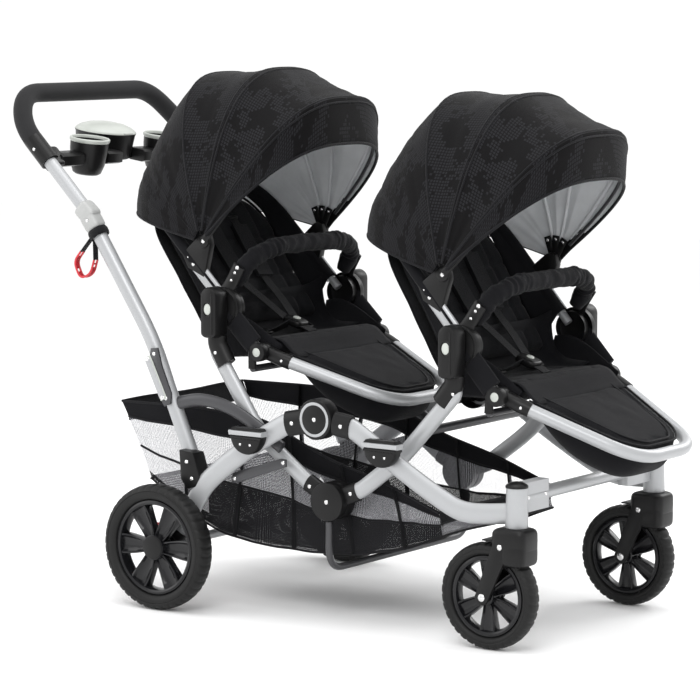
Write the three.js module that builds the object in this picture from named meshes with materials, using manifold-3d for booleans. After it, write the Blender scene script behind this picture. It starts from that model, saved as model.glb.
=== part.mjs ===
// Tandem stroller with two in-line seats on a folding diamond frame.
// Millimetres, +X forward, +Y to the stroller's left, +Z up, ground at z = 0.
// The model is drawn with x = 0 at the rear axle and then centred on its own length.
import * as THREE from 'three';
import { mergeVertices } from 'three/addons/utils/BufferGeometryUtils.js';
import Module from 'manifold-3d';

const wasm = await Module();
wasm.setup();

// ---------------------------------------------------------------- driving dimensions
const GAP = 0.4;
const REAR_WHEEL = { x: 0, y: 323, radius: 127, width: 44, rim: 96, hub: 21 };
const FRONT_WHEEL = { x: 750, y: 260, radius: 102.5, width: 38, rim: 79, hub: 17 };
const CASTER_STEM = { x: 808, radius: 22, bottom: 237, top: 316 };
const LEG = { y: 283, halfThick: 11, halfTall: 21 };
const ARM = { y: 259, halfThick: 8, halfTall: 13 };
const PUSH_TUBE = { y: 256, radius: 15 };
const POST = { y: 235, halfThick: 11, halfTall: 16.5 };
const UPPER_HUB = { x: 368, z: 410, radius: 40, inner: 267, outer: 297 };
const REAR_PIVOT = { x: 211, z: 348 };
const FRONT_PIVOT = { x: 529, z: 348 };
const LOWER_HUB = { x: 368, z: 243, radius: 38.5 };
const SEAT_HUBS = { rear: { x: 85, z: 606, tilt: 0 }, front: { x: 652, z: 564, tilt: 4 } };
const MOUNT = { width: 40, bottom: -58, top: 44, inner: 224.4, outer: 268 };
const BASE_PLATE = { inner: 206.5, outer: 222, radius: 41, barrel: 19 };
const BACK_PLATE = { inner: 187, outer: 205.8, radius: 34 };
const BACK_TUBE = { y: 196, radius: 9, angle: 135, length: 350, corner: 150 };
const BACK_PAD = { x: -48, z: -53, angle: 124.3, length: 322, halfWidth: 178, thick: 24, shoulder: 110 };
const LEG_REST_PIVOT = { x: 87, z: -85 };
const LEG_REST = {
  y: 192, radius: 12.5, bend: { x: 125, z: -98 }, end: { x: 345, y: 108, z: -178 }, corner: 70,
};
const CANOPY = { hinge: { x: -56, z: 130 }, halfWidth: 220, power: 2.8, thick: 5 };
const CANOPY_STOPS = [
  { angle: 168, radius: 285 }, { angle: 106, radius: 350 }, { angle: 80.8, radius: 352 },
  { angle: 54, radius: 356 }, { angle: 43, radius: 289 },
];
const REAR_BULGE = 14;
const BUMPER = { x: 9, z: 44, y: 185, radius: 16, angle: 60, reach: 86, corner: 60 };
const HANDLE_JOINT = { x: -232, z: 787, radius: 22 };
const HANDLE = {
  radius: 14, grip: 20, gripShare: 0.46, bend: { x: -408, z: 962 }, top: { x: -447, y: 204, z: 1025 },
};
const TRAY = { x: -337, boxX: -397, cupY: 122, cupRadius: 42, cupTop: 930, cupBottom: 857, boxRadius: 66 };
const STRAP = { x: -203.5, z: 745, radius: 21, tilt: 33.7 };

// ---------------------------------------------------------------- materials
const material = (color, roughness, metalness) =>
  new THREE.MeshStandardMaterial({ color, roughness, metalness });
const SILVER = material(0xb9bdc0, 0.38, 0.75);
const CHARCOAL = material(0x3c3d40, 0.42, 0.5);
const BLACK_PLASTIC = material(0x1b1b1d, 0.55, 0);
const GLOSS_PLASTIC = material(0x111113, 0.25, 0);
const RUBBER = material(0x161617, 0.85, 0);
const FOAM = material(0x1a1a1b, 0.9, 0);
const FABRIC = material(0x151517, 0.95, 0);
const MESH_FABRIC = material(0x202022, 0.95, 0);
const GREY_PLASTIC = material(0xbfc3bd, 0.5, 0);
const RED_PLASTIC = material(0xb3202a, 0.45, 0);

// ---------------------------------------------------------------- geometry helpers
const radians = THREE.MathUtils.degToRad;

function toSolid(geometry) {
  const plain = geometry.index ? geometry.toNonIndexed() : geometry.clone();
  plain.deleteAttribute('normal');
  plain.deleteAttribute('uv');
  const merged = mergeVertices(plain, 1e-3);
  const mesh = new wasm.Mesh({
    numProp: 3,
    vertProperties: new Float32Array(merged.attributes.position.array),
    triVerts: new Uint32Array(merged.index.array),
  });
  return new wasm.Manifold(mesh);
}

function toGeometry(solid) {
  const mesh = solid.getMesh();
  const geometry = new THREE.BufferGeometry();
  geometry.setAttribute('position', new THREE.BufferAttribute(mesh.vertProperties, 3));
  geometry.setIndex(new THREE.BufferAttribute(mesh.triVerts, 1));
  return geometry;
}

const join = (...geometries) =>
  toGeometry(geometries.map(toSolid).reduce((whole, next) => whole.add(next)));

const cut = (geometry, ...tools) =>
  toGeometry(tools.map(toSolid).reduce((whole, tool) => whole.subtract(tool), toSolid(geometry)));

// A curve through straight runs with each corner rounded by a quadratic bend.
function roundedPath(points, corner) {
  const path = new THREE.CurvePath();
  let start = points[0];
  for (let i = 1; i < points.length - 1; i += 1) {
    const before = points[i].distanceTo(points[i - 1]) / 2;
    const after = points[i].distanceTo(points[i + 1]) / 2;
    const reach = Math.min(corner, before, after);
    const enter = points[i].clone().lerp(points[i - 1], reach / (2 * before));
    const leave = points[i].clone().lerp(points[i + 1], reach / (2 * after));
    if (start.distanceTo(enter) > 1e-6) path.add(new THREE.LineCurve3(start, enter));
    path.add(new THREE.QuadraticBezierCurve3(enter, points[i], leave));
    start = leave;
  }
  path.add(new THREE.LineCurve3(start, points[points.length - 1]));
  return path;
}

// A bar of oval section: the section's first half-size lies across the path's own plane.
function bar(points, halfAcross, halfInPlane, corner, steps, sides = 10) {
  const section = new THREE.Shape();
  for (let i = 0; i < sides; i += 1) {
    const turn = (2 * Math.PI * (i + 0.5)) / sides;
    const x = halfAcross * Math.cos(turn);
    const y = halfInPlane * Math.sin(turn);
    if (i === 0) section.moveTo(x, y);
    else section.lineTo(x, y);
  }
  section.closePath();
  const extrudePath = roundedPath(points, corner);
  return new THREE.ExtrudeGeometry(section, { steps, extrudePath, bevelEnabled: false });
}

const sidePoints = (pairs, y) => pairs.map(([x, z]) => new THREE.Vector3(x, y, z));

// A plate drawn in the XZ plane and given a thickness along Y.
function plate(outline, yFrom, yTo) {
  const shape = new THREE.Shape(outline.map(([x, z]) => new THREE.Vector2(x, z)));
  const depth = yTo - yFrom;
  const geometry = new THREE.ExtrudeGeometry(shape, { depth, bevelEnabled: false });
  geometry.rotateX(Math.PI / 2);
  geometry.translate(0, yTo, 0);
  return geometry;
}

// A round pin or disc whose axis lies along Y.
function pin(x, z, radius, yFrom, yTo, sides = 20) {
  const geometry = new THREE.CylinderGeometry(radius, radius, yTo - yFrom, sides);
  geometry.translate(x, (yFrom + yTo) / 2, z);
  return geometry;
}

function upright(x, y, radiusTop, radiusBottom, zFrom, zTo, sides = 16) {
  const geometry = new THREE.CylinderGeometry(radiusTop, radiusBottom, zTo - zFrom, sides);
  geometry.rotateX(Math.PI / 2);
  geometry.translate(x, y, (zFrom + zTo) / 2);
  return geometry;
}

function block(xFrom, xTo, yFrom, yTo, zFrom, zTo) {
  const geometry = new THREE.BoxGeometry(xTo - xFrom, yTo - yFrom, zTo - zFrom);
  geometry.translate((xFrom + xTo) / 2, (yFrom + yTo) / 2, (zFrom + zTo) / 2);
  return geometry;
}

// Runs a side's geometry from its right-hand form (negative y) to either side.
function onSide(geometry, side) {
  if (side < 0) return geometry;
  const mirrored = geometry.index ? geometry.toNonIndexed() : geometry.clone();
  const position = mirrored.attributes.position;
  for (let i = 0; i < position.count; i += 3) {
    const corner = [0, 1, 2].map((k) => new THREE.Vector3().fromBufferAttribute(position, i + k));
    [corner[0], corner[2], corner[1]].forEach((p, k) => position.setXYZ(i + k, p.x, -p.y, p.z));
  }
  return mirrored;
}

function addPiece(parent, name, geometry, finish, place = [0, 0, 0]) {
  const mesh = new THREE.Mesh(geometry, finish);
  mesh.name = name;
  mesh.position.set(...place);
  parent.add(mesh);
  return mesh;
}

const SIDES = [['right', -1], ['left', 1]];

// ---------------------------------------------------------------- wheels
function tyreGeometry(wheel) {
  const half = wheel.width / 2;
  const inner = wheel.rim + GAP;
  const profile = [
    [inner, -half * 0.7], [wheel.radius - 11, -half], [wheel.radius, -half * 0.45],
    [wheel.radius, half * 0.45], [wheel.radius - 11, half], [inner, half * 0.7], [inner, -half * 0.7],
  ];
  return new THREE.LatheGeometry(profile.map(([r, y]) => new THREE.Vector2(r, y)), 24);
}

function rimGeometry(wheel, boreRadius, through) {
  const half = wheel.width / 2;
  const ringInner = wheel.rim - 9;
  const ringProfile = [
    [ringInner, -half * 0.7], [wheel.rim, -half * 0.7],
    [wheel.rim, half * 0.7], [ringInner, half * 0.7], [ringInner, -half * 0.7],
  ];
  const ring = new THREE.LatheGeometry(ringProfile.map(([r, y]) => new THREE.Vector2(r, y)), 24);
  const hub = new THREE.CylinderGeometry(wheel.hub, wheel.hub, wheel.width - 4, 16);
  const pieces = [ring, hub];
  const spokeCount = 6;
  for (let i = 0; i < spokeCount; i += 1) {
    const spokeHalf = wheel.width * 0.2;
    const reach = ringInner + 4;
    const wide = wheel.radius * 0.13;
    const spoke = plate([[0, -7], [reach, -wide], [reach, wide], [0, 7]], -spokeHalf, spokeHalf);
    spoke.rotateY((2 * Math.PI * i) / spokeCount);
    pieces.push(spoke);
  }
  const bore = new THREE.CylinderGeometry(boreRadius, boreRadius, wheel.width * 1.2, 16);
  if (!through) bore.translate(0, -wheel.width * 0.22, 0);
  return cut(join(...pieces), bore);
}

function addWheel(parent, name, wheel, side, bore, through) {
  const place = [wheel.x, side * wheel.y, wheel.radius];
  const rim = rimGeometry(wheel, bore, through);
  if (side < 0) rim.rotateZ(Math.PI);
  addPiece(parent, `${name}_rim`, rim, GLOSS_PLASTIC, place);
  addPiece(parent, `${name}_tyre`, tyreGeometry(wheel), RUBBER, place);
}

// ---------------------------------------------------------------- rear frame
const REAR_LEG_PATH = [[291, 394], [225, 357], [146, 304], [90, 258], [62, 215], [20, 152]];

function hubSleeveStart(hub, target, distance) {
  const dx = target[0] - hub.x;
  const dz = target[1] - hub.z;
  const length = Math.hypot(dx, dz);
  return [hub.x + (dx / length) * distance, hub.z + (dz / length) * distance];
}

// Half-round accessory socket on the outer face of a leg, with an open pocket in its top.
function socketGeometry(x, z, y) {
  const outline = [];
  for (let i = 0; i <= 8; i += 1) {
    const turn = Math.PI * (1 + i / 8);
    outline.push([x + 40 * Math.cos(turn), z + 12 + 38 * Math.sin(turn)]);
  }
  outline.push([x + 40, z + 27], [x - 40, z + 27]);
  const body = plate(outline, y - 26, y);
  const pocket = block(x - 27, x + 27, y - 21, y - 6, z + 7, z + 40);
  return cut(body, pocket);
}

function rearLegGeometry() {
  const start = hubSleeveStart(UPPER_HUB, REAR_LEG_PATH[0], 66);
  const path = sidePoints([start, ...REAR_LEG_PATH], -LEG.y);
  const leg = bar(path, LEG.halfThick, LEG.halfTall, 40, 13, 8);
  const socket = socketGeometry(REAR_PIVOT.x + 2, REAR_PIVOT.z + 8, -LEG.y - 6);
  return cut(join(leg, socket), pin(0, REAR_WHEEL.radius, 26 + GAP, -300, -260));
}

function upperHubGeometry() {
  const end = hubSleeveStart(UPPER_HUB, REAR_LEG_PATH[0], 66 - GAP);
  const sleeve = bar(sidePoints([[UPPER_HUB.x, UPPER_HUB.z], end], -LEG.y), 14, 25, 10, 2, 10);
  const disc = pin(UPPER_HUB.x, UPPER_HUB.z, UPPER_HUB.radius, -UPPER_HUB.outer, -UPPER_HUB.inner, 24);
  return join(disc, sleeve);
}

function rearAxleGeometry() {
  const z = REAR_WHEEL.radius;
  const tube = pin(0, z, 9.5, -REAR_WHEEL.y - 14, REAR_WHEEL.y + 14, 14);
  const housings = SIDES.map(([, side]) => {
    const yFrom = side < 0 ? -297 : 269;
    return pin(0, z, 26, yFrom, yFrom + 28, 20);
  });
  return join(tube, ...housings);
}

const PUSH_PATH = [[49, 277], [-16, 421], [-60, 530], [HANDLE_JOINT.x + 6, HANDLE_JOINT.z - 8]];

function pushTubeGeometry() {
  const tube = bar(sidePoints(PUSH_PATH, -PUSH_TUBE.y), PUSH_TUBE.radius, PUSH_TUBE.radius, 60, 5, 10);
  const collar = pin(
    HANDLE_JOINT.x, HANDLE_JOINT.z, HANDLE_JOINT.radius, -PUSH_TUBE.y - 17, -PUSH_TUBE.y + 17, 16,
  );
  return join(tube, collar);
}

const ARM_PATH = [[-12, 410], [60, 424], [123, 416], [180, 392], [262, 342]];

function sideArmGeometry() {
  const arm = bar(sidePoints(ARM_PATH, -ARM.y), ARM.halfThick, ARM.halfTall, 50, 10, 8);
  const clearance = PUSH_TUBE.radius + GAP;
  const room = bar(sidePoints(PUSH_PATH, -PUSH_TUBE.y), clearance, clearance, 60, 5, 10);
  return cut(arm, room, block(-60, -24, -300, -200, 380, 440));
}

// Open basket: a floor and four walls, narrower than the posts that pass beside it.
function basketGeometry() {
  const halfWidth = 211;
  const outer = [
    [-186, 396], [-113, 240], [-20, 178], [90, 138], [250, 128], [400, 134], [520, 158], [606, 192],
    [598, 238], [470, 286], [330, 322], [180, 388], [0, 398],
  ];
  const wall = 5;
  const inner = [
    [-198, 440], [-107, 246], [-17, 184], [91, 144], [250, 134], [399, 140], [518, 164], [599, 196],
    [640, 300], [470, 460], [0, 480],
  ];
  return cut(plate(outer, -halfWidth, halfWidth), plate(inner, wall - halfWidth, halfWidth - wall));
}

function brakePedalGeometry() {
  const bridge = block(-70, -40, -262, -150, 146, 158);
  const arms = [-232, -182].map((y) => block(-66, 0, y, y + 8, 120, 156));
  const eyes = [-232, -182].map((y) => pin(0, REAR_WHEEL.radius, 18, y, y + 8, 16));
  const bores = pin(0, REAR_WHEEL.radius, 9.5 + GAP, -240, -160, 14);
  return cut(join(bridge, ...arms, ...eyes), bores);
}

function foldLeverGeometry() {
  const blade = [[-50, 428], [-24, 408], [-10, 424], [-30, 466], [-62, 512], [-76, 500]];
  return plate(blade, -280, -272);
}

function addRearFrame(parent) {
  for (const [word, side] of SIDES) {
    addPiece(parent, `rear_leg_${word}`, onSide(rearLegGeometry(), side), SILVER);
    addPiece(parent, `upper_hub_${word}`, onSide(upperHubGeometry(), side), BLACK_PLASTIC);
    addPiece(parent, `push_tube_${word}`, onSide(pushTubeGeometry(), side), SILVER);
    addPiece(parent, `side_arm_${word}`, onSide(sideArmGeometry(), side), CHARCOAL);
    addWheel(parent, `rear_wheel_${word}`, REAR_WHEEL, side, 9.5 + GAP, false);
  }
  addPiece(parent, 'rear_axle', rearAxleGeometry(), SILVER);
  addPiece(parent, 'basket', basketGeometry(), MESH_FABRIC);
  addPiece(parent, 'brake_pedal', brakePedalGeometry(), RED_PLASTIC);
  addPiece(parent, 'fold_lever', foldLeverGeometry(), BLACK_PLASTIC);
}

// ---------------------------------------------------------------- front frame and casters
const FRONT_LEG_PATH = [[447, 399], [483, 378], [545, 339], [627, 293], [700, 258]];

function frontFrameGeometry() {
  const start = hubSleeveStart(UPPER_HUB, FRONT_LEG_PATH[0], UPPER_HUB.radius - 4);
  const legs = SIDES.map(([, side]) => {
    const path = sidePoints([start, ...FRONT_LEG_PATH], -LEG.y);
    path.push(new THREE.Vector3(760, -272, 260), new THREE.Vector3(CASTER_STEM.x, -260, 265));
    const leg = bar(path, LEG.halfThick, LEG.halfTall - 2, 45, 12, 8);
    const socket = socketGeometry(FRONT_PIVOT.x + 4, FRONT_PIVOT.z + 10, -LEG.y - 6);
    return onSide(join(leg, socket), side);
  });
  const stems = SIDES.map(([, side]) => upright(
    CASTER_STEM.x, side * FRONT_WHEEL.y, CASTER_STEM.radius - 4, CASTER_STEM.radius,
    CASTER_STEM.bottom + GAP, CASTER_STEM.top, 16,
  ));
  const cross = pin(CASTER_STEM.x - 8, 290, 13, -FRONT_WHEEL.y, FRONT_WHEEL.y, 12);
  const gussets = SIDES.map(([, side]) => {
    const yFrom = side < 0 ? -FRONT_WHEEL.y + 4 : FRONT_WHEEL.y - 94;
    return block(CASTER_STEM.x - 18, CASTER_STEM.x + 2, yFrom, yFrom + 90, 256, 312);
  });
  const hubRoom = SIDES.map(([, side]) => {
    const yFrom = side < 0 ? -310 : 260;
    return pin(UPPER_HUB.x, UPPER_HUB.z, UPPER_HUB.radius + GAP, yFrom, yFrom + 50, 24);
  });
  return cut(join(...legs, ...stems, ...gussets, cross), ...hubRoom);
}

function casterForkGeometry() {
  const stemX = CASTER_STEM.x - FRONT_WHEEL.x;
  const half = FRONT_WHEEL.width / 2 + 5;
  const thick = 8;
  const crownBottom = FRONT_WHEEL.radius + 8;
  const crownTop = CASTER_STEM.bottom - FRONT_WHEEL.radius;
  const crown = plate([
    [-24, crownBottom], [40, crownBottom - 4], [stemX + 18, crownBottom - 30], [stemX + 24, crownTop - 12],
    [stemX + 20, crownTop], [stemX - 20, crownTop], [-8, crownTop - 8], [-28, crownBottom + 6],
  ], -half - thick, half + thick);
  const cheeks = [-half - thick, half].map((y) => plate([
    [-13, -8], [0, -15], [13, -8], [stemX + 14, crownBottom - 26], [stemX + 18, crownBottom],
    [-24, crownBottom + 2],
  ], y, y + thick));
  const wheelRoom = pin(0, 0, FRONT_WHEEL.radius + 4, -half, half, 28);
  const axle = pin(0, 0, 5, -half - 4, half + 4, 12);
  return join(cut(join(crown, ...cheeks), wheelRoom), axle);
}

function addFrontFrame(parent) {
  addPiece(parent, 'front_frame', frontFrameGeometry(), SILVER);
  for (const [word, side] of SIDES) {
    const place = [FRONT_WHEEL.x, side * FRONT_WHEEL.y, FRONT_WHEEL.radius];
    addPiece(parent, `caster_fork_${word}`, casterForkGeometry(), BLACK_PLASTIC, place);
    addWheel(parent, `front_wheel_${word}`, FRONT_WHEEL, side, 5 + GAP, true);
  }
}

// ---------------------------------------------------------------- seat posts and mounts
const LINK_REAR = [[190, 362], [305, 277]];
const LINK_FRONT = [[530, 340], [436, 270]];

function postGeometry(top, link, discFrom, discTo, otherFrom, otherTo) {
  const corners = [[top.x, top.z], [top.x, top.z - 18], ...link, [LOWER_HUB.x, LOWER_HUB.z]];
  const path = sidePoints(corners, -POST.y);
  const tube = bar(path, POST.halfThick, POST.halfTall, 45, 13, 8);
  const disc = pin(LOWER_HUB.x, LOWER_HUB.z, LOWER_HUB.radius, discFrom, discTo);
  const otherRoom = pin(LOWER_HUB.x, LOWER_HUB.z, LOWER_HUB.radius + 8, otherFrom, otherTo);
  return cut(join(tube, disc), otherRoom);
}

function mountGeometry() {
  const half = MOUNT.width / 2;
  const outline = [[-half, MOUNT.bottom], [half, MOUNT.bottom]];
  for (let i = 0; i <= 8; i += 1) {
    const turn = (Math.PI * i) / 8;
    outline.push([half * Math.cos(turn), MOUNT.top - half + half * Math.sin(turn)]);
  }
  const body = plate(outline, -MOUNT.outer, -MOUNT.inner);
  const buttonRoom = block(-9.5, 9.5, -MOUNT.outer - 1, -MOUNT.outer + 16, -12.5, 12.5);
  return cut(body, buttonRoom);
}

function buttonGeometry() {
  const button = new THREE.CylinderGeometry(9, 9, 12, 20);
  button.scale(1, 1, 12 / 9);
  button.translate(0, -MOUNT.outer + 4.5, 0);
  return button;
}

function addPosts(parent) {
  const ends = [
    ['rear', SEAT_HUBS.rear, LINK_REAR, [-258, -236], [-235.4, -200]],
    ['front', SEAT_HUBS.front, LINK_FRONT, [-235, -213], [-262, -235.4]],
  ];
  for (const [name, hub, link, disc, other] of ends) {
    const top = { x: hub.x, z: hub.z + MOUNT.bottom - GAP };
    for (const [word, side] of SIDES) {
      const post = onSide(postGeometry(top, link, ...disc, ...other), side);
      addPiece(parent, `${name}_post_${word}`, post, SILVER);
      const place = [hub.x, 0, hub.z];
      addPiece(parent, `${name}_mount_${word}`, onSide(mountGeometry(), side), BLACK_PLASTIC, place);
      addPiece(parent, `${name}_release_${word}`, onSide(buttonGeometry(), side), GREY_PLASTIC, place);
    }
  }
  const underBarPath = [[-247, 203], [-247, 108], [247, 108], [247, 203]];
  const points = underBarPath.map(([y, z]) => new THREE.Vector3(LOWER_HUB.x, y, z));
  addPiece(parent, 'under_bar', bar(points, 7, 7, 45, 14, 8), CHARCOAL);
  const crossBar = pin(578, 396, 9, -POST.y + POST.halfThick + 1, POST.y - POST.halfThick - 1, 12);
  addPiece(parent, 'post_cross_bar', crossBar, CHARCOAL);
}

// ---------------------------------------------------------------- seat unit (origin at its hub axis)
function baseFrameGeometry() {
  const { inner, outer, radius, barrel } = BASE_PLATE;
  const mid = (inner + outer) / 2;
  const sides = SIDES.flatMap(([, side]) => {
    const [yFrom, yTo] = side < 0 ? [-outer, -inner] : [inner, outer];
    const link = sidePoints([[0, 0], [LEG_REST_PIVOT.x, LEG_REST_PIVOT.z]], side * mid);
    return [
      pin(0, 0, radius, yFrom, yTo),
      pin(LEG_REST_PIVOT.x, LEG_REST_PIVOT.z, barrel, yFrom, yTo, 18),
      bar(link, 7.5, 12, 5, 1, 8),
    ];
  });
  const cross = pin(72, -119, 7, -mid, mid, 10);
  const drops = SIDES.map(([, side]) => bar(sidePoints([[72, -80], [72, -119]], side * mid), 7, 9, 5, 1, 8));
  return join(...sides, ...drops, cross);
}

const direction = (degrees) => [Math.cos(radians(degrees)), Math.sin(radians(degrees))];

function backFrameGeometry() {
  const [dx, dz] = direction(BACK_TUBE.angle);
  const at = (distance, y) => new THREE.Vector3(dx * distance, y, dz * distance);
  const end = BACK_TUBE.length;
  const path = [at(10, -BACK_TUBE.y), at(end, -BACK_TUBE.y), at(end, BACK_TUBE.y), at(10, BACK_TUBE.y)];
  const tube = bar(path, BACK_TUBE.radius, BACK_TUBE.radius, BACK_TUBE.corner, 20, 8);
  const plates = SIDES.flatMap(([, side]) => {
    const [yFrom, yTo] = side < 0
      ? [-BACK_PLATE.outer, -BACK_PLATE.inner] : [BACK_PLATE.inner, BACK_PLATE.outer];
    const { x, z } = CANOPY.hinge;
    const bracket = plate([
      [-96, 76], [-58, 58], [x + 14, z - 8], [x + 8, z + 14], [x - 14, z + 10], [-112, 100],
    ], yFrom, yTo);
    return [pin(0, 0, BACK_PLATE.radius, yFrom, yTo, 20), bracket];
  });
  return join(tube, ...plates);
}

function backPadGeometry() {
  const { x, z, angle, length, halfWidth, thick, shoulder } = BACK_PAD;
  const outline = new THREE.Shape();
  outline.moveTo(-halfWidth, 0);
  outline.lineTo(halfWidth, 0);
  outline.lineTo(halfWidth, length - shoulder);
  outline.quadraticCurveTo(halfWidth, length, halfWidth - shoulder, length);
  outline.lineTo(shoulder - halfWidth, length);
  outline.quadraticCurveTo(-halfWidth, length, -halfWidth, length - shoulder);
  outline.closePath();
  const pad = new THREE.ExtrudeGeometry(outline, { depth: thick, curveSegments: 5, bevelEnabled: false });
  const [dx, dz] = direction(angle);
  pad.translate(0, 0, -thick / 2);
  pad.applyMatrix4(new THREE.Matrix4().makeBasis(
    new THREE.Vector3(0, 1, 0), new THREE.Vector3(dx, 0, dz), new THREE.Vector3(dz, 0, -dx),
  ));
  pad.translate(x, 0, z);
  return pad;
}

function basePadGeometry() {
  return plate([[-82, -87], [108, -58], [120, -72], [112, -98], [-78, -112]], -176, 176);
}

function legFrameGeometry() {
  const { x, z } = LEG_REST_PIVOT;
  const { y, radius, bend, end, corner } = LEG_REST;
  const near = [
    new THREE.Vector3(x + 6, -y, z - 1.5),
    new THREE.Vector3(bend.x, -y, bend.z),
    new THREE.Vector3(end.x, -end.y, end.z),
  ];
  const path = [...near, ...near.map((p) => new THREE.Vector3(p.x, -p.y, p.z)).reverse()];
  const tube = bar(path, radius, radius, corner, 22, 8);
  const eyes = SIDES.map(([, side]) => {
    const [yFrom, yTo] = side < 0 ? [-205.5, -189] : [189, 205.5];
    return pin(x, z, 18, yFrom, yTo, 18);
  });
  return join(tube, ...eyes);
}

// Calf panel with its slack pouch: a side profile trimmed to a plan that narrows towards the foot bar.
function legPadGeometry() {
  const halfWidth = 173;
  const profile = plate([
    [130, -88], [318, -158], [327, -165], [320, -190], [290, -222], [220, -214], [160, -165], [126, -108],
  ], -halfWidth, halfWidth);
  const planStart = 100;
  const planEnd = 327;
  const toeStart = 290;
  const taper = (LEG_REST.y - LEG_REST.end.y) / (LEG_REST.end.x - LEG_REST.bend.x);
  const halfAt = (x) => halfWidth - Math.max(x - LEG_REST.bend.x, 0) * taper;
  const plan = new THREE.Shape();
  plan.moveTo(planStart, -halfAt(planStart));
  plan.lineTo(LEG_REST.bend.x, -halfWidth);
  plan.lineTo(toeStart, -halfAt(toeStart));
  plan.quadraticCurveTo(planEnd, -halfAt(planEnd), planEnd, -halfAt(planEnd) / 2);
  plan.lineTo(planEnd, halfAt(planEnd) / 2);
  plan.quadraticCurveTo(planEnd, halfAt(planEnd), toeStart, halfAt(toeStart));
  plan.lineTo(LEG_REST.bend.x, halfWidth);
  plan.lineTo(planStart, halfAt(planStart));
  plan.closePath();
  const column = new THREE.ExtrudeGeometry(plan, { depth: 300, curveSegments: 6, bevelEnabled: false });
  column.translate(0, 0, -280);
  return toGeometry(toSolid(profile).intersect(toSolid(column)));
}

// Distance from the canopy hinge to the fabric along a ray at the given angle: straight between bows.
function canopyRadius(angle) {
  const next = Math.max(CANOPY_STOPS.findIndex((stop) => angle >= stop.angle - 1e-9), 1);
  const upper = CANOPY_STOPS[next - 1];
  const lower = CANOPY_STOPS[next];
  const share = (upper.angle - angle) / (upper.angle - lower.angle);
  const from = direction(upper.angle).map((v) => v * upper.radius);
  const to = direction(lower.angle).map((v) => v * lower.radius);
  const chord = [from[0] + (to[0] - from[0]) * share, from[1] + (to[1] - from[1]) * share];
  return Math.hypot(chord[0], chord[1]) + (next === 1 ? REAR_BULGE * Math.sin(Math.PI * share) : 0);
}

// Superellipse across the canopy, from one hinge up over the child to the other.
function acrossCanopy(turn, inset) {
  const share = 2 / CANOPY.power;
  const reach = Math.abs(Math.cos(turn)) ** share;
  const y = Math.sign(Math.sin(turn)) * Math.abs(Math.sin(turn)) ** share;
  return { reach, y: y * (CANOPY.halfWidth - inset) };
}

function canopyGeometry() {
  const angles = [168, 153, 137, 121, 106, 93, 80.8, 67, 54, 48, 43];
  const columns = 12;
  const limit = radians(88.6);
  const layer = (inset) => angles.flatMap((angle) => {
    const [dx, dz] = direction(angle);
    return Array.from({ length: columns + 1 }, (_, k) => {
      const { reach, y } = acrossCanopy(-limit + (2 * limit * k) / columns, inset);
      const radius = (canopyRadius(angle) - inset) * reach;
      return [CANOPY.hinge.x + dx * radius, y, CANOPY.hinge.z + dz * radius];
    });
  });
  const outer = layer(0);
  const inner = layer(CANOPY.thick);
  const width = columns + 1;
  const rows = angles.length;
  const outerCount = outer.length;
  const indices = [];
  const quad = (a, b, c, d) => indices.push(a, b, c, a, c, d);
  for (let row = 0; row < rows - 1; row += 1) {
    for (let k = 0; k < columns; k += 1) {
      const a = row * width + k;
      quad(a, a + width, a + width + 1, a + 1);
      quad(outerCount + a, outerCount + a + 1, outerCount + a + width + 1, outerCount + a + width);
    }
    const left = row * width;
    const right = left + columns;
    quad(left, outerCount + left, outerCount + left + width, left + width);
    quad(right, right + width, outerCount + right + width, outerCount + right);
  }
  for (let k = 0; k < columns; k += 1) {
    const last = (rows - 1) * width + k;
    quad(k, k + 1, outerCount + k + 1, outerCount + k);
    quad(last, outerCount + last, outerCount + last + 1, last + 1);
  }
  const geometry = new THREE.BufferGeometry();
  geometry.setAttribute('position', new THREE.Float32BufferAttribute([...outer, ...inner].flat(), 3));
  geometry.setIndex(indices);
  return geometry;
}

function canopyBowGeometry() {
  const inset = CANOPY.thick + 5;
  const bowRadius = 3.5;
  const bowAngle = CANOPY_STOPS[CANOPY_STOPS.length - 1].angle + 4;
  const [dx, dz] = direction(bowAngle);
  const points = [];
  for (let k = 0; k <= 12; k += 1) {
    const { reach, y } = acrossCanopy(radians(-89.6 + (179.2 * k) / 12), inset);
    const radius = (canopyRadius(bowAngle) - inset - 4) * reach;
    points.push(new THREE.Vector3(CANOPY.hinge.x + dx * radius, y, CANOPY.hinge.z + dz * radius));
  }
  return bar(points, bowRadius, bowRadius, 12, 22, 6);
}

function bumperBarGeometry() {
  const [dx, dz] = direction(BUMPER.angle);
  const at = (distance, y) => new THREE.Vector3(BUMPER.x + dx * distance, y, BUMPER.z + dz * distance);
  const half = [[0, 1], [0.67, 0.99], [1, 0.64]].map(([share, across]) => (
    at(BUMPER.reach * share, -BUMPER.y * across)));
  const far = half.map((p) => new THREE.Vector3(p.x, -p.y, p.z)).reverse();
  return bar([...half, ...far], BUMPER.radius, BUMPER.radius, BUMPER.corner, 22, 8);
}

function addSeat(parent, name) {
  const hub = SEAT_HUBS[name];
  const seat = new THREE.Group();
  seat.position.set(hub.x, 0, hub.z);
  seat.rotation.y = radians(hub.tilt);
  parent.add(seat);
  addPiece(seat, `${name}_seat_base_frame`, baseFrameGeometry(), BLACK_PLASTIC);
  addPiece(seat, `${name}_seat_back_frame`, backFrameGeometry(), SILVER);
  addPiece(seat, `${name}_seat_back_pad`, backPadGeometry(), FABRIC);
  addPiece(seat, `${name}_seat_base_pad`, basePadGeometry(), FABRIC);
  addPiece(seat, `${name}_leg_rest_frame`, legFrameGeometry(), SILVER);
  addPiece(seat, `${name}_leg_rest_pad`, legPadGeometry(), FABRIC);
  addPiece(seat, `${name}_canopy`, canopyGeometry(), FABRIC);
  addPiece(seat, `${name}_canopy_bow`, canopyBowGeometry(), CHARCOAL);
  addPiece(seat, `${name}_bumper_bar`, bumperBarGeometry(), FOAM);
}

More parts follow.
